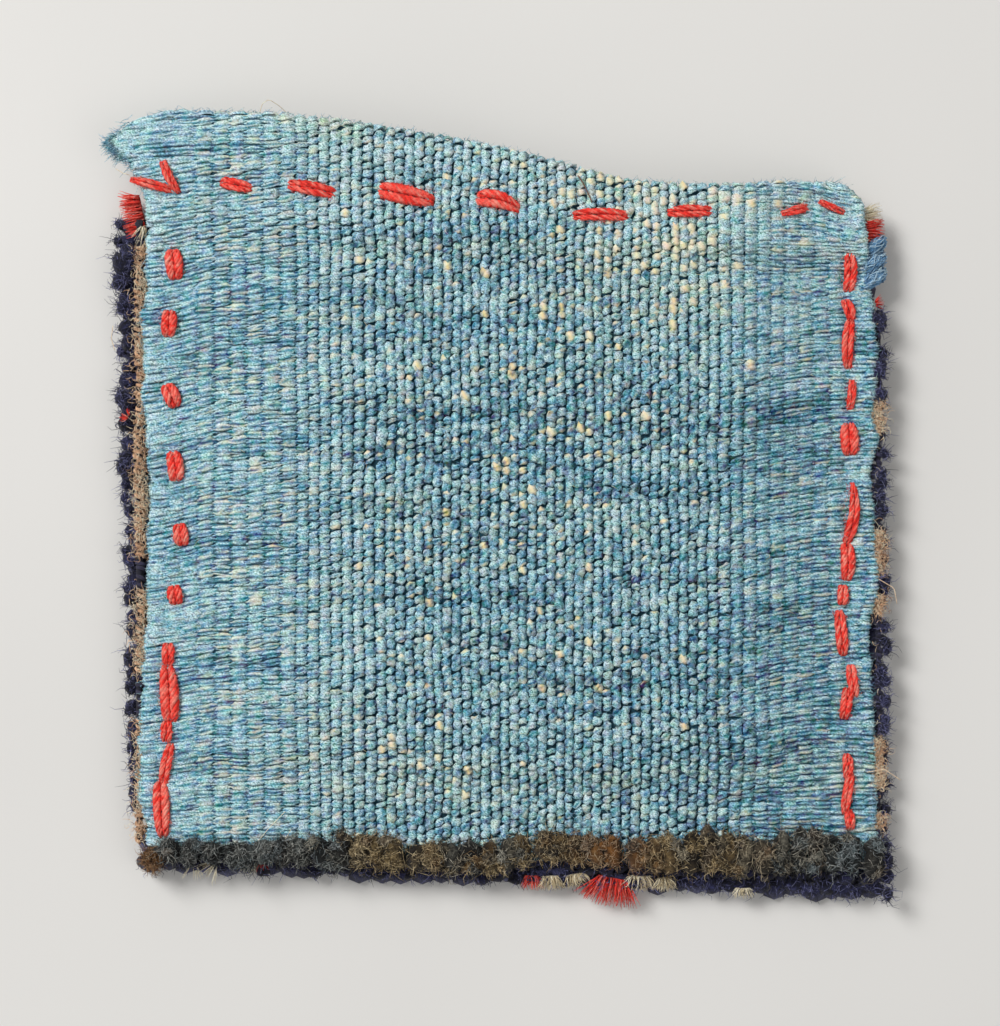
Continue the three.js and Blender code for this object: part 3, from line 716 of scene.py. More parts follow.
def weave():
    """The wefts in three pieces, from the base to the mouth."""
    count, places = warp_phase()
    first, last = np.interp([BACK_LEFT, BACK_RIGHT], places, count)
    warps = np.arange(int(np.ceil(first)), int(np.floor(last)) + 1)
    pieces = [Strands(11 + n) for n in range(3)]
    rng = np.random.default_rng(5)
    each = (ROWS, warps[-1] + 3)
    size = rng.normal(1, 0.14, each)
    shade = rng.normal(0, 0.16, each)
    stain = rng.normal(0, 0.2, each)
    shift = rng.normal(0, 1, (2, *each))
    breadth = rng.uniform(-0.05, 0.05, each)
    slant = rng.normal(0, 0.18, each)
    chance = rng.uniform(0, 1, each)
    strength = rng.uniform(0.6, 1.0, each)
    half = rng.choice([-1, 1], each)
    for row in range(ROWS):
        steps = [w + s for w in warps if (w + row) % 2 == 0 for s in OVER_STEPS]
        inner = [p for p in steps if first + 2 * TURN < p < last - 2 * TURN]
        phase = np.array([first, first + TURN, *inner, last - TURN, last])
        x = np.interp(phase, count, places)
        warp = np.rint((phase - row % 2) / 2).astype(int) * 2 + row % 2
        warp = np.clip(warp, 0, each[1] - 1)
        same = np.full_like(x, row)
        right = rise(x, *RIGHT_MARGIN)
        margin = np.maximum(fall(x, *LEFT_MARGIN), right)
        smooth = np.maximum(fall(x, *LEFT_SMOOTH), RIGHT_SMOOTH * right)
        dive = lerp(lerp(*DIVE, margin), SMOOTH_DIVE, smooth)
        off = np.abs(phase - warp)
        bead = fall(off, lerp(*BEAD_FROM, margin) + breadth[row, warp], lerp(*BEAD_TO, margin))
        rim = np.maximum(fall(x, BACK_LEFT, BACK_LEFT + RIM), rise(x, BACK_RIGHT - RIM, BACK_RIGHT))
        x, y = weft_line(row, x, phase, warp, margin, smooth, rim, slant[row, warp], shift[:, row, warp], rng)
        end = np.minimum(np.arange(len(x)), np.arange(len(x))[::-1])
        lift = lerp(-0.55 * dive, lerp(*BEAD_RISE, margin), bead) * size[row, warp]
        lift = lift + 0.12 * noise(x / 3.1, same, 9) - np.interp(end, [0, 1, 2], [1.1, 0.3, 0.0])
        to_fold = y - fold_line(x) + round_corner(x)
        kept = int((to_fold < np.pi * FOLD_RADIUS + WRAP_INSIDE).sum())
        if kept < FEWEST_RINGS:
            continue
        centre, normal = cloth_at(x, y, lift)
        tall = lerp(lerp(0.9, 0.34, dive), lerp(*TALL, margin), bead) * size[row, warp]
        tall = np.minimum(tall, np.interp(end, [0, 1, 3], [0.6, 0.75, 1.2]))
        thick = lerp(0.3, lerp(*THICK, margin), bead)
        uneven = lerp(*UNEVEN, margin)[:, None, None]
        section = WEFT_ROUND * (1 + uneven * rng.normal(0, 1, (len(x), len(WEFT_ROUND), 1)))
        section[:, CREASE_SIDE, 1] = lerp(*CREASE, margin)
        along = unit(np.gradient(centre, axis=0))
        across = unit(np.cross(along, normal))
        up = np.cross(across, along)
        between = np.where(x < 0, bunch(y, LEFT_STITCHES), bunch(y, RIGHT_STITCHES))
        mint = hump(x, MINT_X, 9) * rise(to_fold, -4, -1)
        tone = weft_tone(x, y, same, margin, right, rim, between, mint)
        tone = tone + shade[row, warp] * lerp(*BEAD_TONE, margin)
        tone = tone - (1 - bead) * (0.08 + lerp(*GAP_DARK, margin) * dive)
        streak, lime = [np.stack([noise(x / reach, 2 * same + k, seed) for k in STRAND_OF_SIDE], axis=1)
                        for reach, seed in ((4, 26), (6, 27))]
        loose = margin[:, None]
        speck = rng.normal(0, 1, streak.shape) * lerp(*SPECKS, loose)
        tone = tone[:, None] + EDGE_SHADE * lerp(*EDGE_DARK, loose) + 0.3 * loose * streak + speck
        tone[:, CREASE_SIDE] -= lerp(*CREASE_DARK, margin) * (1 - 0.4 * rim * between)
        inward = rise(x, -80, -60)[:, None]
        tint = weft_tint(x, y, same, margin, right, rim, mint, stain[row, warp])
        tint = tint[:, None] * np.clip(1.6 * tone, 0, 1) * inward
        fleck = weft_fleck(x, y, same, margin, off, to_fold, chance[row, warp], strength[row, warp],
                           half[row, warp])
        fleck = fleck + (1 - fleck) * inward * lerp(*LIME, loose) * np.maximum(lime - 0.3, 0) * (tone > 0.4)
        pieces[row * 3 // ROWS].add(*[
            part[None, :kept] for part in (
                centre, across * tall[:, None], up * thick[:, None], section,
                np.clip(tone, 0, 1), np.clip(tint, 0, 1), fleck,
            )
        ])
    names = ("weft_lower", "weft_middle", "weft_upper")
    return [p.build(n, BLUE_WOOL, columns=1) for p, n in zip(pieces, names)]


def strip_point(u, v):
    """The middle of the folded strip: front, base fold, back, hem fold and flap, one unit of v each."""
    t = v - np.clip(np.floor(v), 0, 4)
    part = np.clip(np.floor(v), 0, 4).astype(int)
    draw = CORNER_DRAW * np.where(part >= 3, 1, np.where(part == 2, rise(t, 0.86, 1), 0))
    poke = np.where(part == 4, FLAP_POKE * rise(t, 0, 0.16) * fall(t, 0.4, 0.62), 0)
    left = np.where(part < 1, FRONT_LEFT, BACK_LEFT) + RIM_INSET - poke
    right = np.where(part < 1, FRONT_RIGHT, BACK_RIGHT) - RIM_INSET - draw
    x = lerp(left, right, u)
    base, fold = base_line(x), fold_line(x) - round_corner(x)
    edge = back_height(x, fold)
    y_back = lerp(base, fold, t)
    y_flap = lerp(fold, flap_end(x), t)
    turn = np.pi * t
    y = np.choose(part, [lerp(FRONT_MOUTH, base, t), base - FOLD_RADIUS * np.sin(turn), y_back,
                         fold + FOLD_RADIUS * np.sin(turn), y_flap])
    z = np.choose(part, [np.full_like(x, FRONT_Z), FRONT_Z + FOLD_RADIUS * (1 - np.cos(turn)),
                         back_height(x, y_back) - dent(x, y_back), edge - FOLD_RADIUS * (1 - np.cos(turn)),
                         back_height(x, y_flap) - LAYER])
    return at(x, y, z)


RIM_INSET = 2.2  # the wefts reach this much further out than the ground
GROUND_COLUMNS = 44
FLAP_END = 4.9999  # the end of the strip, still on its last part
GROUND_ROWS = (24, 6, 54, 6, 8)  # steps in the front, the base fold, the back, the hem fold and the flap


def cloth_ground():
    """The ground of the folded strip, a closed thin sheet, coloured dark as painted shade between the wefts.
    """
    u = np.linspace(0, 1, GROUND_COLUMNS + 1)
    v = [part + np.arange(steps) / steps for part, steps in enumerate(GROUND_ROWS)]
    v = np.concatenate(v + [[FLAP_END]])
    middle = strip_point(*np.meshgrid(u, v))
    normal = unit(np.cross(np.gradient(middle, axis=1), np.gradient(middle, axis=0)))
    middle = middle - normal * GROUND_DROP
    points = np.concatenate([middle + normal * GROUND / 2, middle - normal * GROUND / 2])
    rows, columns = len(v), len(u)
    index = np.arange(rows * columns).reshape(rows, columns)
    outer = np.stack([index[:-1, :-1], index[:-1, 1:], index[1:, 1:], index[1:, :-1]], axis=-1).reshape(-1, 4)
    inner = outer[:, ::-1] + rows * columns
    rim = np.concatenate([index[0, :], index[1:, -1], index[-1, -2::-1], index[-2:0:-1, 0]])
    after = np.roll(rim, -1)
    sides = np.stack([after, rim, rim + rows * columns, after + rows * columns], axis=-1)
    mesh = bpy.data.meshes.new("cloth_ground")
    flat = points.reshape(-1, 3)
    mesh.from_pydata((flat * MM).tolist(), [], np.concatenate([outer, inner, sides]).tolist())
    mesh.polygons.foreach_set("use_smooth", np.ones(len(mesh.polygons), bool))
    tone = 0.35 + 0.2 * noise(flat[:, 0] / 6, flat[:, 1] / 6, 31)
    front = (flat[:, 2] < FRONT_Z + 1) * 0.7
    write_values(mesh, (tone, front, 0 * tone))
    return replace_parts(place("cloth_ground", mesh, GROUND_SHADE_WOOL), "bag_cloth")


# Red yarn

STITCH_RINGS = 15
PLIES = 5
PLY_PITCH = 5.6  # length of one twist
STRAND_OUT = 0.24  # how far each strand lies from the stitch's middle, as a share of its width
PLY_OUT, PLY_RISE, PLY_RADIUS = 0.15, 0.1, 0.11  # of each ply, in the same way
FUZZ_PER_MM = 8


def stitches(name, seed, rows, node):
    """Each stitch is two soft strands of loosely twisted plies, with its ends drawn into the cloth."""
    yarn = Strands(seed)
    rng = yarn.rng
    t = np.linspace(0, 1, STITCH_RINGS)
    arch = np.sin(np.pi * lerp(0.03, 0.97, t))
    for (x0, y0), (x1, y1), width, taper in rows:
        length = np.hypot(x1 - x0, y1 - y0)
        along = np.array([x1 - x0, y1 - y0]) / length
        beside = np.array([-along[1], along[0]])
        bend = rng.normal(0, 0.03) * length
        wide = width * (1 + taper * (0.5 - t)) * arch**0.24
        for strand in (-1, 1):
            shift = strand * wide * STRAND_OUT + bend * arch
            x = lerp(x0, x1, t) + beside[0] * shift
            y = lerp(y0, y1, t) + beside[1] * shift
            z = back_top(x, y) + lerp(-1.5, 0.3, arch**0.4)
            for ply in range(PLIES):
                turn = 2 * np.pi * (ply / PLIES + t * length / PLY_PITCH) + rng.normal(0, 0.3)
                out = wide * PLY_OUT * np.cos(turn) + rng.normal(0, 0.05, STITCH_RINGS)
                lift = wide * PLY_RISE * np.sin(turn) + rng.normal(0, 0.05, STITCH_RINGS)
                centre = at(x + beside[0] * out, y + beside[1] * out, z + lift)
                # Painted light and shade: each ply is lighter where it twists up to the top and darker where
                # it goes under.
                tone = rng.normal(0.5, 0.14) + 0.2 * np.sin(turn) + rng.normal(0, 0.14, STITCH_RINGS)
                yarn.tubes(centre[None], (wide * PLY_RADIUS)[None], 4, np.clip(tone, 0, 1)[None])
        fuzz = int(FUZZ_PER_MM * length)
        s = rng.uniform(0.05, 0.95, fuzz)
        side = rng.uniform(-0.5, 0.5, fuzz)
        root_x = lerp(x0, x1, s) + beside[0] * side * width
        root_y = lerp(y0, y1, s) + beside[1] * side * width
        root = at(root_x, root_y, back_top(root_x, root_y) + 0.4)
        slant = np.sign(side)[:, None] * beside * 0.5 + along * rng.choice([-1, 1], (fuzz, 1)) * 0.8
        reach = rng.uniform(0.25, 0.9, (fuzz, 1))
        tip = root + np.concatenate([slant * reach, rng.uniform(-0.1, 0.35, (fuzz, 1))], axis=1)
        yarn.fibres(root, tip, rng.normal(0, 0.12, (fuzz, 3)), 0.06, rng.uniform(0.3, 1, fuzz), rings=3)
    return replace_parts(yarn.build(name, RED_WOOL), node)


# The pile face, pressed flat under the bag, and its fringe at the edges

PILE_CORNERS = [(-86.8, 66.0), (-83.0, -80.8), (86.8, -87.7), (85.0, 66.0)]
KNOT_ROWS, KNOT_COLUMNS = 42, 38
KNOT_INSET = np.array([0.975, 0.985])  # how much smaller than the outline the field of roots is
KNOT_REACH = 2.6  # how far a knot leans towards the base
KNOT_TIP = 1.15  # height of the middle of its tip
KNOT_WIDE, KNOT_FLAT = (1.9, 2.75), 0.48  # range of half its width, and its thickness as a share of that
KNOT_UP = np.array([0.0, 0.76, -0.65])  # the direction of its thickness


def pile_edge(side, t):
    """A point on the left, base or right edge of the pile, from the mouth round to the mouth."""
    a, b = np.array(PILE_CORNERS[side]), np.array(PILE_CORNERS[side + 1])
    return lerp(a, b, np.asarray(t)[..., None])


def pile_face():
    """Tufts in rows on the underside. Each leans towards the base and is pressed flat at its tip."""
    pile = Strands(41)
    rng = pile.rng
    v = np.arange(0.5, KNOT_ROWS) / KNOT_ROWS
    u = np.arange(0.5, KNOT_COLUMNS) / KNOT_COLUMNS
    u, v = [g.ravel() for g in np.meshgrid(u, v)]
    root = lerp(pile_edge(0, v), pile_edge(2, 1 - v), u[:, None])
    root = (root + rng.normal(0, 0.35, root.shape)) * KNOT_INSET
    t = np.linspace(0, 1, 3)[None, :]
    each = (len(root), 1)
    x = root[:, :1] + rng.normal(0, 0.5, each) * t
    y = root[:, 1:] - KNOT_REACH * t**1.5 + rng.normal(0, 0.3, each) * t
    z = lerp(PILE + 0.2, KNOT_TIP, t**0.7) + 0 * x
    size = lerp(*KNOT_WIDE, np.sin(np.pi * (0.15 + 0.7 * t))) * rng.uniform(0.9, 1.1, each)
    flat = np.minimum(size * KNOT_FLAT, z - 2 * FLOOR_GAP)
    tone = np.clip(rng.normal(0.42, 0.16, each) + 0.1 * t, 0, 1)
    pile.add(at(x, y, z), SIDEWAYS * size[..., None], KNOT_UP * flat[..., None], ring(4), tone)
    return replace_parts(pile.build("pile_knots", NAVY_PILE), "face_pile")


# Clumps that stand out more than the others: their middles and sizes
BIG_CLUMPS = [((-84.0, 53.4), 3.4), ((-82.6, 55.6), 2.4), ((-85.0, 50.2), 2.2), ((-84.2, 44.6), 2.0),
              ((-84.2, 24.0), 2.6), ((-84.0, 8.6), 2.4)]
WHIP_LOW = 44.0  # the blue whipping hides the edge above this
CORNER_LOW = -71.0  # below this the left edge is drawn in
BASE_FROM = -79.0  # where the clumps along the base begin
SIDE_CLUMPS, BASE_CLUMPS = 44, 46
SIDE_FIBRES, BIG_FIBRES = 64, 150  # in each clump
BASE_ROWS = [(1.9, 58), (5.2, 26)]  # how far in each row at the base lies, and fibres in a clump
LOW_CLUMPS, HIGH_CLUMPS = (2.8, 4.2), (5.4, 6.8)  # heights of those below a binding and of the others
# Stretches where the hair binding shows at the left and at the right, each from the top down
GOLDEN_SHOWS = [(58.0, -11.5), (-18.0, -37.0), (-47.0, -74.0)]
BROWN_SHOWS = [(23.4, 16.4), (-5.2, -15.1), (-19.5, -23.9), (-51.4, -62.4), (-67.9, -71.2)]


def pile_fringe():
    """Round clumps of pile that stand out past the edges of the cloth, in two pieces."""
    sides, base = Strands(43), Strands(44)
    rng = sides.rng
    for side, sign, sizes in ((0, -1, (1.3, 2.6)), (2, 1, (1.2, 2.1))):
        for n in range(SIDE_CLUMPS):
            t = (n + 0.9 + rng.uniform(-0.45, 0.45)) / (SIDE_CLUMPS + 0.9)
            x, y = pile_edge(side, t if side == 0 else 1 - t)
            radius = rng.uniform(*sizes)
            if side == 2 and y > WHIP_LOW or side == 0 and y < CORNER_LOW:
                continue
            under = side == 0 or any(low - 1 < y < high + 1 for high, low in BROWN_SHOWS)
            height = rng.uniform(*(LOW_CLUMPS if under else HIGH_CLUMPS))
            centre = np.array([x - sign * radius * rng.uniform(0.7, 1.3), y, height])
            sides.clump(centre, radius, (sign, rng.normal(0, 0.6), 0.35), SIDE_FIBRES, rng.normal(0.48, 0.1))
    for (x, y), radius in BIG_CLUMPS:
        sides.clump(np.array([x, y, 4.6]), radius, (np.sign(x), rng.normal(0, 0.5), 0.4), BIG_FIBRES, 0.42)
    rng = base.rng
    for row, (back, fibres) in enumerate(BASE_ROWS):
        for n in range(BASE_CLUMPS):
            t = (n + 0.5 * row + rng.uniform(-0.25, 0.25) + 0.3) / (BASE_CLUMPS + 0.5)
            x, y = pile_edge(1, t)
            radius = rng.uniform(1.7, 2.6)
            if x < BASE_FROM:
                continue
            centre = np.array([x, y + back + rng.uniform(-0.6, 0.6), rng.uniform(2.9, 3.7) + row])
            base.clump(centre, radius, (rng.normal(0, 0.4), -1.0, 0.35), fibres, rng.normal(0.46, 0.1))
    return [piece.build(name, NAVY_PILE)
            for piece, name in ((sides, "pile_edge_fringe"), (base, "pile_base_fringe"))]


# The brown row of plump knots round the base

BAND_LEFT, BAND_RIGHT = -72.4, 81.8
BAND_STEP = KNOT * 0.98
# How far the tufts reach below and above the base fold, along the base
BAND_REACH = [(-76, -2.2, 1.4), (-68, -2.2, 2.4), (-60, -2.6, 1.0), (-51, -2.2, 2.8), (-42, -2.4, 3.6),
              (-34, -3.0, 4.8), (-25, -3.0, 4.2), (-16, -3.0, 1.8), (-7, -3.2, 3.4), (1, -2.6, 4.4),
              (10, -0.2, 5.8), (19, -0.4, 4.8), (28, -1.8, 5.2), (37, -2.8, 5.0), (46, -3.2, 8.2),
              (55, -2.4, 4.4), (60, -2.4, 6.2), (66, -2.4, 8.6), (72, -2.2, 6.8), (80, -2.2, 6.0)]
BAND_LUMPS = 3  # smaller lumps on each tuft
TUFT_FIBRES, LUMP_FIBRES = 104, 52
BAND_FIBRE = 0.09
BAND_SIDE_SHADE = 0.42  # how much painted shade darkens the tufts at their sides
HAIR_BALL = (-77.4, -77.8, 7.4)  # a tangle of brown hair at the left end
BALL_RADIUS = 2.1
HAIRS_IN_BALL = 360


def band_colour(x, rng):
    """How slate and how rusty a tuft is at x, and its tone."""
    slate = 0.85 * fall(x, -48, -28) + 0.6 * rise(x, 48, 66) + 0.35 * max(0, rng.normal(0, 1))
    rust = 0.75 * hump(x, 25, 8) + 0.2 * max(0, rng.normal(0, 0.8))
    slate = np.clip(slate, 0, 1)
    rust = np.clip(rust * (1 - 0.6 * slate), 0, 0.85)
    tone = rng.normal(0.48, 0.12 + 0.08 * slate) - 0.17 * slate
    return slate, rust, np.clip(tone, 0.1, 0.9)


def base_band():
    """Soft lumpy tufts that come out of the base fold and lie up over the blue back."""
    band = Strands(47)
    rng = band.rng
    count = int((BAND_RIGHT - BAND_LEFT) / BAND_STEP) + 1
    turn = np.linspace(0, 1, 9)
    places, lows, highs = zip(*BAND_REACH)
    for n in range(count):
        x = lerp(BAND_LEFT, BAND_RIGHT, n / (count - 1)) + rng.normal(0, 0.6)
        low = np.interp(x, places, lows) + rng.uniform(-0.4, 0.4)
        high = np.interp(x, places, highs) + rng.uniform(-0.4, 0.4)
        y = base_line(x) + lerp(low, high, turn)
        z = 6.4 + 2.3 * np.sin(np.pi / 2 * np.clip(turn * 1.6, 0, 1)) - 0.8 * rise(turn, 0.7, 1)
        path = at(x + rng.normal(0, 1.4) * (turn - 0.3), y, z)
        slate, rust, tone = band_colour(x, rng)
        radius = rng.uniform(2.1, 2.7)
        band.fluff(path, radius, TUFT_FIBRES, BAND_FIBRE, tone, slate, rust, 0.85, (0.9, 2.4),
                   rings=9, sides=11, depth=BAND_SIDE_SHADE)
        for _ in range(BAND_LUMPS):
            slate, rust, tone = band_colour(x, rng)
            middle = follow(path, np.array(rng.uniform(0.05, 0.95)))
            aside = np.array([rng.uniform(-0.7, 0.7) * radius, 0, rng.uniform(0.35, 0.7) * radius])
            heading = np.array([rng.normal(0, 1), rng.normal(0, 1), 0.2])
            lump = middle + aside + unit(heading) * np.linspace(-1.3, 1.3, 5)[:, None]
            band.fluff(lump, rng.uniform(1.0, 1.6), LUMP_FIBRES, BAND_FIBRE, tone + 0.08, slate, rust, 0.9,
                       (0.7, 2.0), depth=BAND_SIDE_SHADE)
    middle = np.array(HAIR_BALL)
    band.body(middle + np.linspace(-2.2, 2.2, 5)[:, None] * SIDEWAYS, BALL_RADIUS, 0.1, fleck=0.7)
    each = (HAIRS_IN_BALL, 3)
    out = unit(rng.normal(0, 1, each))
    root = middle + out * BALL_RADIUS
    away = unit(out * 0.25 + rng.normal(0, 1, each))
    tip = root + away * rng.uniform(1.0, 2.6, (HAIRS_IN_BALL, 1))
    bow = rng.normal(0, 0.5, each)
    tone = np.clip(rng.normal(0.5, 0.3, HAIRS_IN_BALL), 0, 1)
    band.fibres(root, tip, bow, BAND_FIBRE, tone, fleck=0.75)
    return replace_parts(band.build("base_band", BROWN_PILE), "base_pile_band")


# Bindings at the edges

WRAP_Z = 5.75  # height of the middle of a binding
WRAP_PITCH = 1.6  # from one turn of its yarn to the next
WRAP_YARN = 0.45
RINGS_IN_TURN = 8
HAIRS_PER_MM = 15
BARE = 0.95  # share of the hairs that lie where the binding shows


def selvage(name, seed, x_mid, low, high, inward, node, coil, shows):
    """Goat-hair yarn overcast round the edge, mostly hidden by the curly hairs that have worked loose."""
    wrap = Strands(seed)
    rng = wrap.rng
    turns = int((high - low) / WRAP_PITCH)
    t = np.linspace(0, 1, turns * RINGS_IN_TURN)
    y = lerp(low, high, t)
    angle = 2 * np.pi * turns * t + 1.2 * wander(y, 3, seed + 4)
    radius = coil + 0.25 * wander(y, 2.3, seed)
    middle = x_mid + 0.5 * wander(y, 7, seed + 1)
    centre = at(middle + radius * np.cos(angle), y + 0.5 * wander(y, 1, seed + 2),
                WRAP_Z + radius * np.sin(angle))
    tone = np.clip(0.32 + 0.2 * wander(y, 3, seed + 3), 0, 1)
    hidden = ~np.any([(end < y) & (y < top) for top, end in shows], axis=0)
    wrap.tubes(centre[None], WRAP_YARN, 5, tone[None], hidden[None])
    core = at(np.full(12, x_mid), np.linspace(low, high, 12), WRAP_Z)
    wrap.tubes(core[None], coil, 8, 0.1, 1.0)
    hairs = int((high - low) * HAIRS_PER_MM)
    y = rng.uniform(low, high, hairs)
    bare = rng.uniform(0, 1, hairs) < BARE
    tops, ends = np.array(shows).T
    pick = rng.choice(len(shows), hairs, p=(tops - ends) / np.sum(tops - ends))
    y = np.where(bare, lerp(tops[pick], ends[pick], rng.uniform(0, 1, hairs)), y)
    off = np.clip(rng.normal(0.5 * inward, 1.1, hairs), -2.2, 2.2)
    z = WRAP_Z + 1.5 * np.sqrt(1 - (off / 2.4) ** 2) + rng.normal(0, 0.15, hairs)
    turn = rng.uniform(0, 2 * np.pi, hairs)
    reach = rng.uniform(0.6, 1.9, hairs)
    root = at(x_mid + off, y, z)
    tip = root + at(reach * np.cos(turn), reach * np.sin(turn), rng.normal(-0.1, 0.35, hairs))
    bow = at(-np.sin(turn), np.cos(turn), 0.3) * rng.normal(0, 0.42, (hairs, 1))
    tone = np.clip(rng.normal(0.68, 0.26, hairs) + 0.2 * wander(y, 5, seed + 5), 0, 1)
    wrap.fibres(root, tip, bow, PILE_FIBRE, tone)
    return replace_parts(wrap.build(name, GOLDEN_HAIR), node)


WHIP_TURNS = (59.2, 55.6, 52.2)  # where the turns of the blue yarn start, along y


def corner_whip():
    """Blue yarn whipped slantwise round the right edge beside the mouth."""
    whip = Strands(61)
    turn = np.linspace(0, 1, 9)
    for y in WHIP_TURNS:
        path = at(lerp(84.9, 79.8, turn), y - 3.6 * turn**1.3, 4.9 + 2.3 * np.sin(np.pi * 0.62 * turn))
        whip.body(path, 1.6, 0.38, flat=0.8, rough=0.1)
        whip.lock(path, 1.7, 70, 0.12, 0.56)
    core = at(np.full(8, 83.4), np.linspace(49.6, 60.0, 8), WRAP_Z)
    whip.tubes(core[None], 1.1, 8, 0.1)
    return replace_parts(whip.build("corner_yarn", DEEP_BLUE), "right_corner_whip")


FRAYED_ENDS = 260


def frayed_corner():
    """Ends of the weft yarns that fray out at the left of the mouth."""
    ends = Strands(67)
    rng = ends.rng
    count = FRAYED_ENDS
    y = rng.normal(79.5, 2.4, count)
    x = BACK_LEFT + edge_shift(LEFT_EDGE, y) - EDGE_OUT + rng.uniform(-0.2, 1.8, count)
    root = at(x, y, back_height(x, y) + rng.uniform(-0.9, 0.9, count))
    away = at(-1, rng.normal(-0.25, 0.6, count), rng.normal(0, 0.25, count))
    ends.sprout(root, away, (0.6, 2.2), 0.2, 0.1, (0.3, 0.9), rings=4)
    return ends.build("frayed_corner", BLUE_WOOL)


# Coloured pile knots at the edges: node, root, heading, fan, length, width, fibres and colour

DOWN = -np.pi / 2
TUFTS = [
    ("red_corner_tuft_left", (-79.9, 65.4, 4.6), np.pi + 0.2, 0.25, 4.6, 7.6, 240, RED_WOOL, "red_pile"),
    ("red_corner_tuft_right", (79.6, 60.8, 7.2), -0.12, 0.35, 4.6, 4.0, 150, RED_WOOL, "red_pile"),
    ("red_base_tuft", (24.6, -82.4, 4.6), DOWN - 0.2, 0.55, 6.2, 6.4, 220, RED_WOOL, "red_pile"),
    ("red_base_tuft_small", (6.4, -81.9, 4.4), DOWN, 0.5, 3.2, 2.6, 70, RED_WOOL, "red_pile"),
    ("ivory_base_tuft_1", (10.8, -82.0, 4.6), DOWN, 0.6, 3.2, 3.4, 130, IVORY_PILE, "ivory_pile"),
    ("ivory_base_tuft_2", (15.9, -81.6, 4.7), DOWN + 0.2, 0.6, 3.0, 3.6, 120, IVORY_PILE, "ivory_pile"),
    ("ivory_base_tuft_3", (30.4, -82.0, 4.7), DOWN, 0.6, 3.2, 4.2, 150, IVORY_PILE, "ivory_pile"),
    ("ivory_base_tuft_4", (36.0, -82.4, 4.7), DOWN, 0.6, 3.0, 2.4, 110, IVORY_PILE, "ivory_pile"),
]


def coloured_tuft(node, root, heading, fan, length, width, fibres, material, slot, seed):
    """A cut knot of another colour: a brush of fibres, curlier in ivory than in red."""
    knot = Strands(seed)
    curl = 0.35 if material == IVORY_PILE else 0.15
    knot.brush(root, heading, fan, length, width, fibres, 0.17, curl=curl)
    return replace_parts(knot.build(node + "_fibres", material), node)


# Loose fibres and hairs

STRAY_ENDS = [  # pale pile ends: root, heading, fan, length, width and fibres
    ((79.4, 64.2, 7.2), 0.1, 0.3, 4.4, 2.4, 100), ((-79.4, 61.8, 6.4), DOWN - 0.3, 0.2, 4.4, 1.2, 24),
    ((-64.0, -79.2, 5.6), DOWN - 0.7, 0.5, 4.0, 2.0, 22),
    ((-68.4, -79.8, 4.8), DOWN - 0.1, 0.5, 3.0, 2.0, 14),
    ((-55.6, -78.6, 5.6), DOWN - 0.5, 0.5, 3.4, 2.4, 30), ((53.4, -84.6, 5.2), DOWN, 0.6, 2.4, 3.0, 60),
    ((-10.0, -80.8, 4.4), DOWN, 0.7, 1.8, 4.0, 14), ((70.0, -78.0, 8.0), 1.9, 0.8, 2.6, 4.0, 16),
]
RED_BITS = [((-53.4, -79.4, 5.2), DOWN, 0.7, 1.7, 1.4, 26), ((-82.8, 19.8, 7.0), 2.6, 0.9, 1.8, 1.2, 24),
            ((82.6, 45.0, 6.6), 0.2, 0.8, 1.9, 1.4, 30), ((79.6, 56.8, 5.4), 0.0, 0.4, 2.6, 2.0, 40)]
# Single long hairs: points along each, and its tone
HAIRS = [
    ([(11.8, 75.9), (13.9, 74.8), (16.1, 72.6), (17.7, 70.1), (19.1, 67.1), (19.5, 66.1)], 0.0),
    ([(-53.8, 86.0), (-52.9, 88.6), (-51.4, 89.6), (-49.0, 88.2), (-46.8, 86.0)], 0.9),
    ([(-85.3, 74.5), (-83.6, 73.4), (-82.0, 72.9)], 0.9),
    ([(-85.9, 39.9), (-86.1, 37.0), (-85.3, 34.4)], 0.8),
    ([(-54.5, -74.5), (-51.6, -71.0), (-47.9, -67.2)], 1.0),
    ([(-51.2, -78.8), (-49.0, -75.2), (-46.6, -71.2)], 1.0),
    ([(83.0, -16.0), (86.2, -18.0), (86.8, -21.4)], 0.7),
    ([(80.4, -58.6), (84.0, -57.8), (87.6, -60.2)], 0.7),
]


def stray_fibres():
    """Pale and red ends among the dark pile, and single long hairs."""
    pale, red, hair = Strands(101), Strands(102), Strands(103)
    for end in STRAY_ENDS:
        pale.brush(*end, 0.12, 0.8)
    for bit in RED_BITS:
        red.brush(*bit, 0.12, 0.4)
    for points, tone in HAIRS:
        corner = np.array(points)
        s = np.linspace(0, len(corner) - 1, 12)
        x, y = [np.interp(s, np.arange(len(corner)), corner[:, k]) for k in (0, 1)]
        on_cloth = (np.abs(x - 1) < 78) & (y < fold_line(x)) & (y > base_line(x))
        z = np.where(on_cloth, back_top(x, y) + 0.3, 8.5 + 1.5 * np.sin(s))
        hair.tubes(at(x, y, z)[None], lerp(0.13, 0.07, tone), 4, tone)
    return [
        pale.build("pale_ends", IVORY_PILE),
        red.build("red_bits", RED_WOOL),
        hair.build("stray_hair", GOLDEN_HAIR),
    ]


CLOTH_FIBRES = 3900
RIM_FIBRES = 360  # at each rim and at the fold


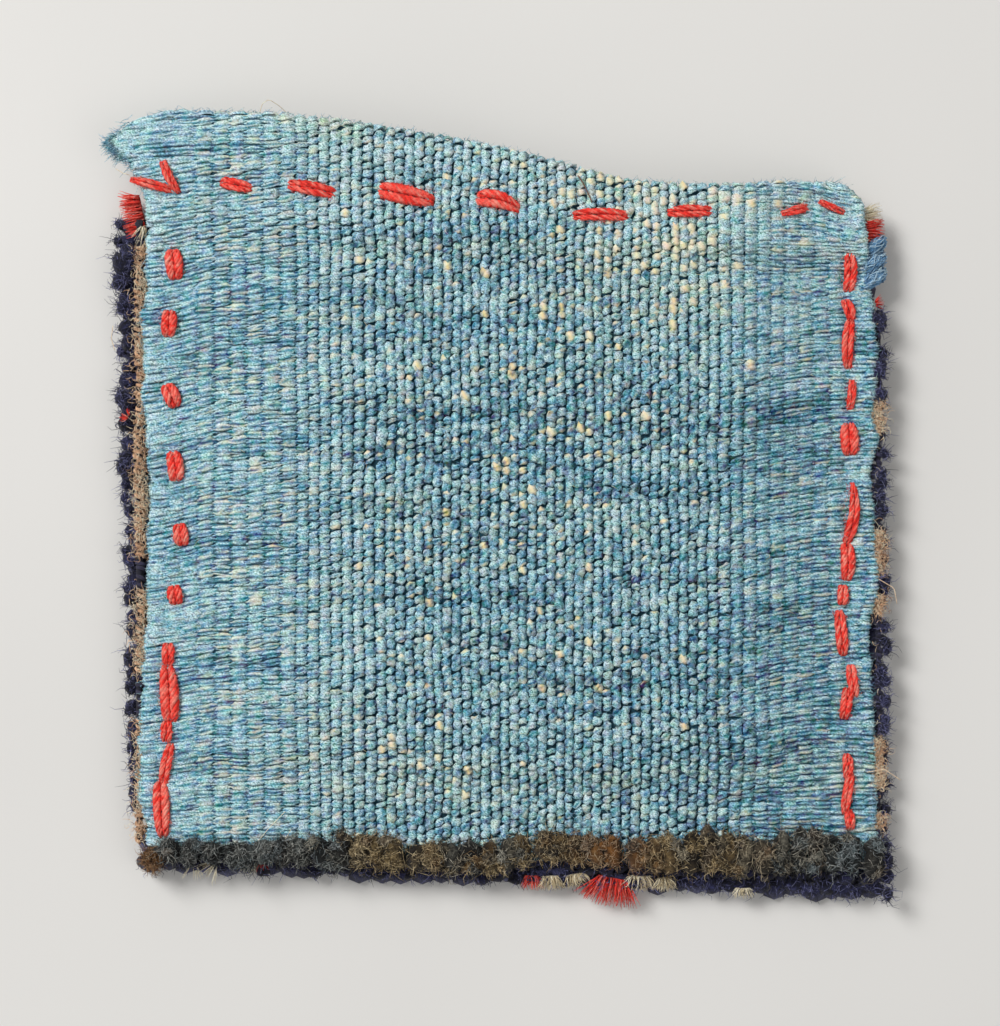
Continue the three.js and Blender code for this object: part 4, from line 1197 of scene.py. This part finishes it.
def loose_fibres():
    """Fine fibres that have come up from the blue cloth, and those that stand out of its rims."""
    loose = Strands(71)
    rng = loose.rng
    count = CLOTH_FIBRES
    x = rng.uniform(BACK_LEFT + 1, BACK_RIGHT - 1, count)
    y = rng.uniform(base_line(x) + 6, fold_line(x) - round_corner(x) - 1)
    turn = rng.normal(0, 0.9, count)
    reach = rng.uniform(0.5, 2.4, count)
    tip_x, tip_y = x + reach * np.cos(turn), y + reach * np.sin(turn)
    root = at(x, y, back_top(x, y) - 0.15)
    tip = at(tip_x, tip_y, back_top(tip_x, tip_y) + rng.uniform(0, 0.3, count))
    bow = at(rng.normal(0, 0.25, count), rng.normal(0, 0.25, count), rng.uniform(0.05, 0.35, count))
    pale = rng.choice([0.0, 0.8], count, p=[0.88, 0.12])
    loose.fibres(root, tip, bow, 0.05, rng.uniform(0.4, 1, count), 0.1, rings=3, fleck=pale)
    count = RIM_FIBRES
    for side, edge, sign in ((BACK_LEFT, LEFT_EDGE, -1), (BACK_RIGHT, RIGHT_EDGE, 1)):
        y = rng.uniform(base_line(side) + 6, fold_line(side) - 4, count)
        x = side + edge_shift(edge, y) + sign * (EDGE_OUT - rng.uniform(0, 1.2, count))
        root = at(x, y, back_height(x, y) + rng.uniform(-0.7, 0.7, count))
        away = at(sign * rng.uniform(0.2, 1, count), rng.normal(0, 0.7, count), rng.normal(-0.1, 0.3, count))
        loose.sprout(root, away, (0.5, 1.6), 0.15, 0.07, (0.4, 1))
    x = rng.uniform(BACK_LEFT, BACK_RIGHT - CORNER_DRAW, count)
    y = fold_line(x) - round_corner(x) + FOLD_RADIUS + 0.3
    root = at(x, y, back_height(x, y) - FOLD_RADIUS + rng.uniform(-0.5, 1, count))
    away = at(rng.normal(0, 0.8, count), rng.uniform(0.2, 1, count), rng.normal(0, 0.3, count))
    loose.sprout(root, away, (0.5, 1.5), 0.15, 0.07, (0.4, 1))
    return loose.build("loose_fibres", BLUE_WOOL)


# The object

wefts = weave()
ground = cloth_ground()
red_yarns = [
    stitches("left_stitches", 81, LEFT_STITCHES, "left_seam_thread"),
    stitches("right_stitches", 82, RIGHT_STITCHES, "right_seam_thread"),
    stitches("hem_stitches", 83, HEM_STITCHES, "hem_thread"),
]
pile_face()
pile_fringe()
base_band()
selvage("left_binding", 51, -80.4, -74.0, 63.5, 1, "left_selvage_wrap", 0.7, GOLDEN_SHOWS)
selvage("right_binding", 55, 83.3, -75.0, 43.5, -1, "right_selvage_wrap", 0.5, BROWN_SHOWS)
corner_whip()
corner_ends = frayed_corner()
for number, tuft in enumerate(TUFTS):
    coloured_tuft(*tuft, seed=91 + number)
stray_fibres()
hairs = loose_fibres()


# The stage: pale floor, soft light from the upper left, camera straight above

VIEW_WIDTH = 220.0  # what the image's width takes in, at the height of the cloth
VIEW_MIDDLE = (-0.55, -1.43)
CAMERA_HEIGHT = 600.0
CLOTH_TOP = 10.0
SENSOR = 36.0
FLOOR_HALF = 6000.0
WORLD_LIGHT = 0.333
# Square soft lamps: place, width and watts
KEY = ((-1150.0, 950.0, 1550.0), 820.0, 35.5)
FILL = ((1150.0, -690.0, 1610.0), 1610.0, 5.0)


def make_floor():
    material = bpy.data.materials.new("floor")
    material.use_nodes = True
    tree = material.node_tree
    shader = tree.nodes["Principled BSDF"]
    where = add_node(tree, "ShaderNodeTexCoord").outputs["Object"]
    cloudy = add_node(tree, "ShaderNodeTexNoise", {"Vector": where, "Scale": 6.0})
    colour = ramp(tree, cloudy.outputs["Fac"], (0.3, linear(226, 224, 220)), (0.7, linear(232, 230, 226)))
    tree.links.new(colour, shader.inputs["Base Color"])
    shader.inputs["Roughness"].default_value = 0.9
    mesh = bpy.data.meshes.new("floor")
    half = FLOOR_HALF * MM
    corners = [(-half, -half, 0), (half, -half, 0), (half, half, 0), (-half, half, 0)]
    mesh.from_pydata(corners, [], [(0, 1, 2, 3)])
    mesh.materials.append(material)
    obj = bpy.data.objects.new("floor", mesh)
    bpy.context.scene.collection.objects.link(obj)


def add_lamp(name, place_mm, width_mm, watts):
    """A lamp that faces the bag."""
    lamp = bpy.data.lights.new(name, "AREA")
    lamp.size = width_mm * MM
    lamp.energy = watts
    obj = bpy.data.objects.new(name, lamp)
    bpy.context.scene.collection.objects.link(obj)
    obj.location = [c * MM for c in place_mm]
    obj.rotation_euler = obj.location.to_track_quat("Z", "Y").to_euler()


def make_stage():
    make_floor()
    add_lamp("key", *KEY)
    add_lamp("fill", *FILL)
    world = bpy.data.worlds.new("studio")
    world.use_nodes = True
    background = world.node_tree.nodes["Background"]
    background.inputs["Color"].default_value = (1.0, 1.0, 1.0, 1.0)
    background.inputs["Strength"].default_value = WORLD_LIGHT
    scene = bpy.context.scene
    scene.world = world
    scene.view_settings.view_transform = "Standard"
    camera = bpy.data.cameras.new("camera")
    camera.sensor_fit = "HORIZONTAL"
    camera.sensor_width = SENSOR
    camera.lens = SENSOR * (CAMERA_HEIGHT - CLOTH_TOP) / VIEW_WIDTH
    obj = bpy.data.objects.new("camera", camera)
    scene.collection.objects.link(obj)
    obj.location = [c * MM for c in (*VIEW_MIDDLE, CAMERA_HEIGHT)]
    scene.camera = obj


make_stage()
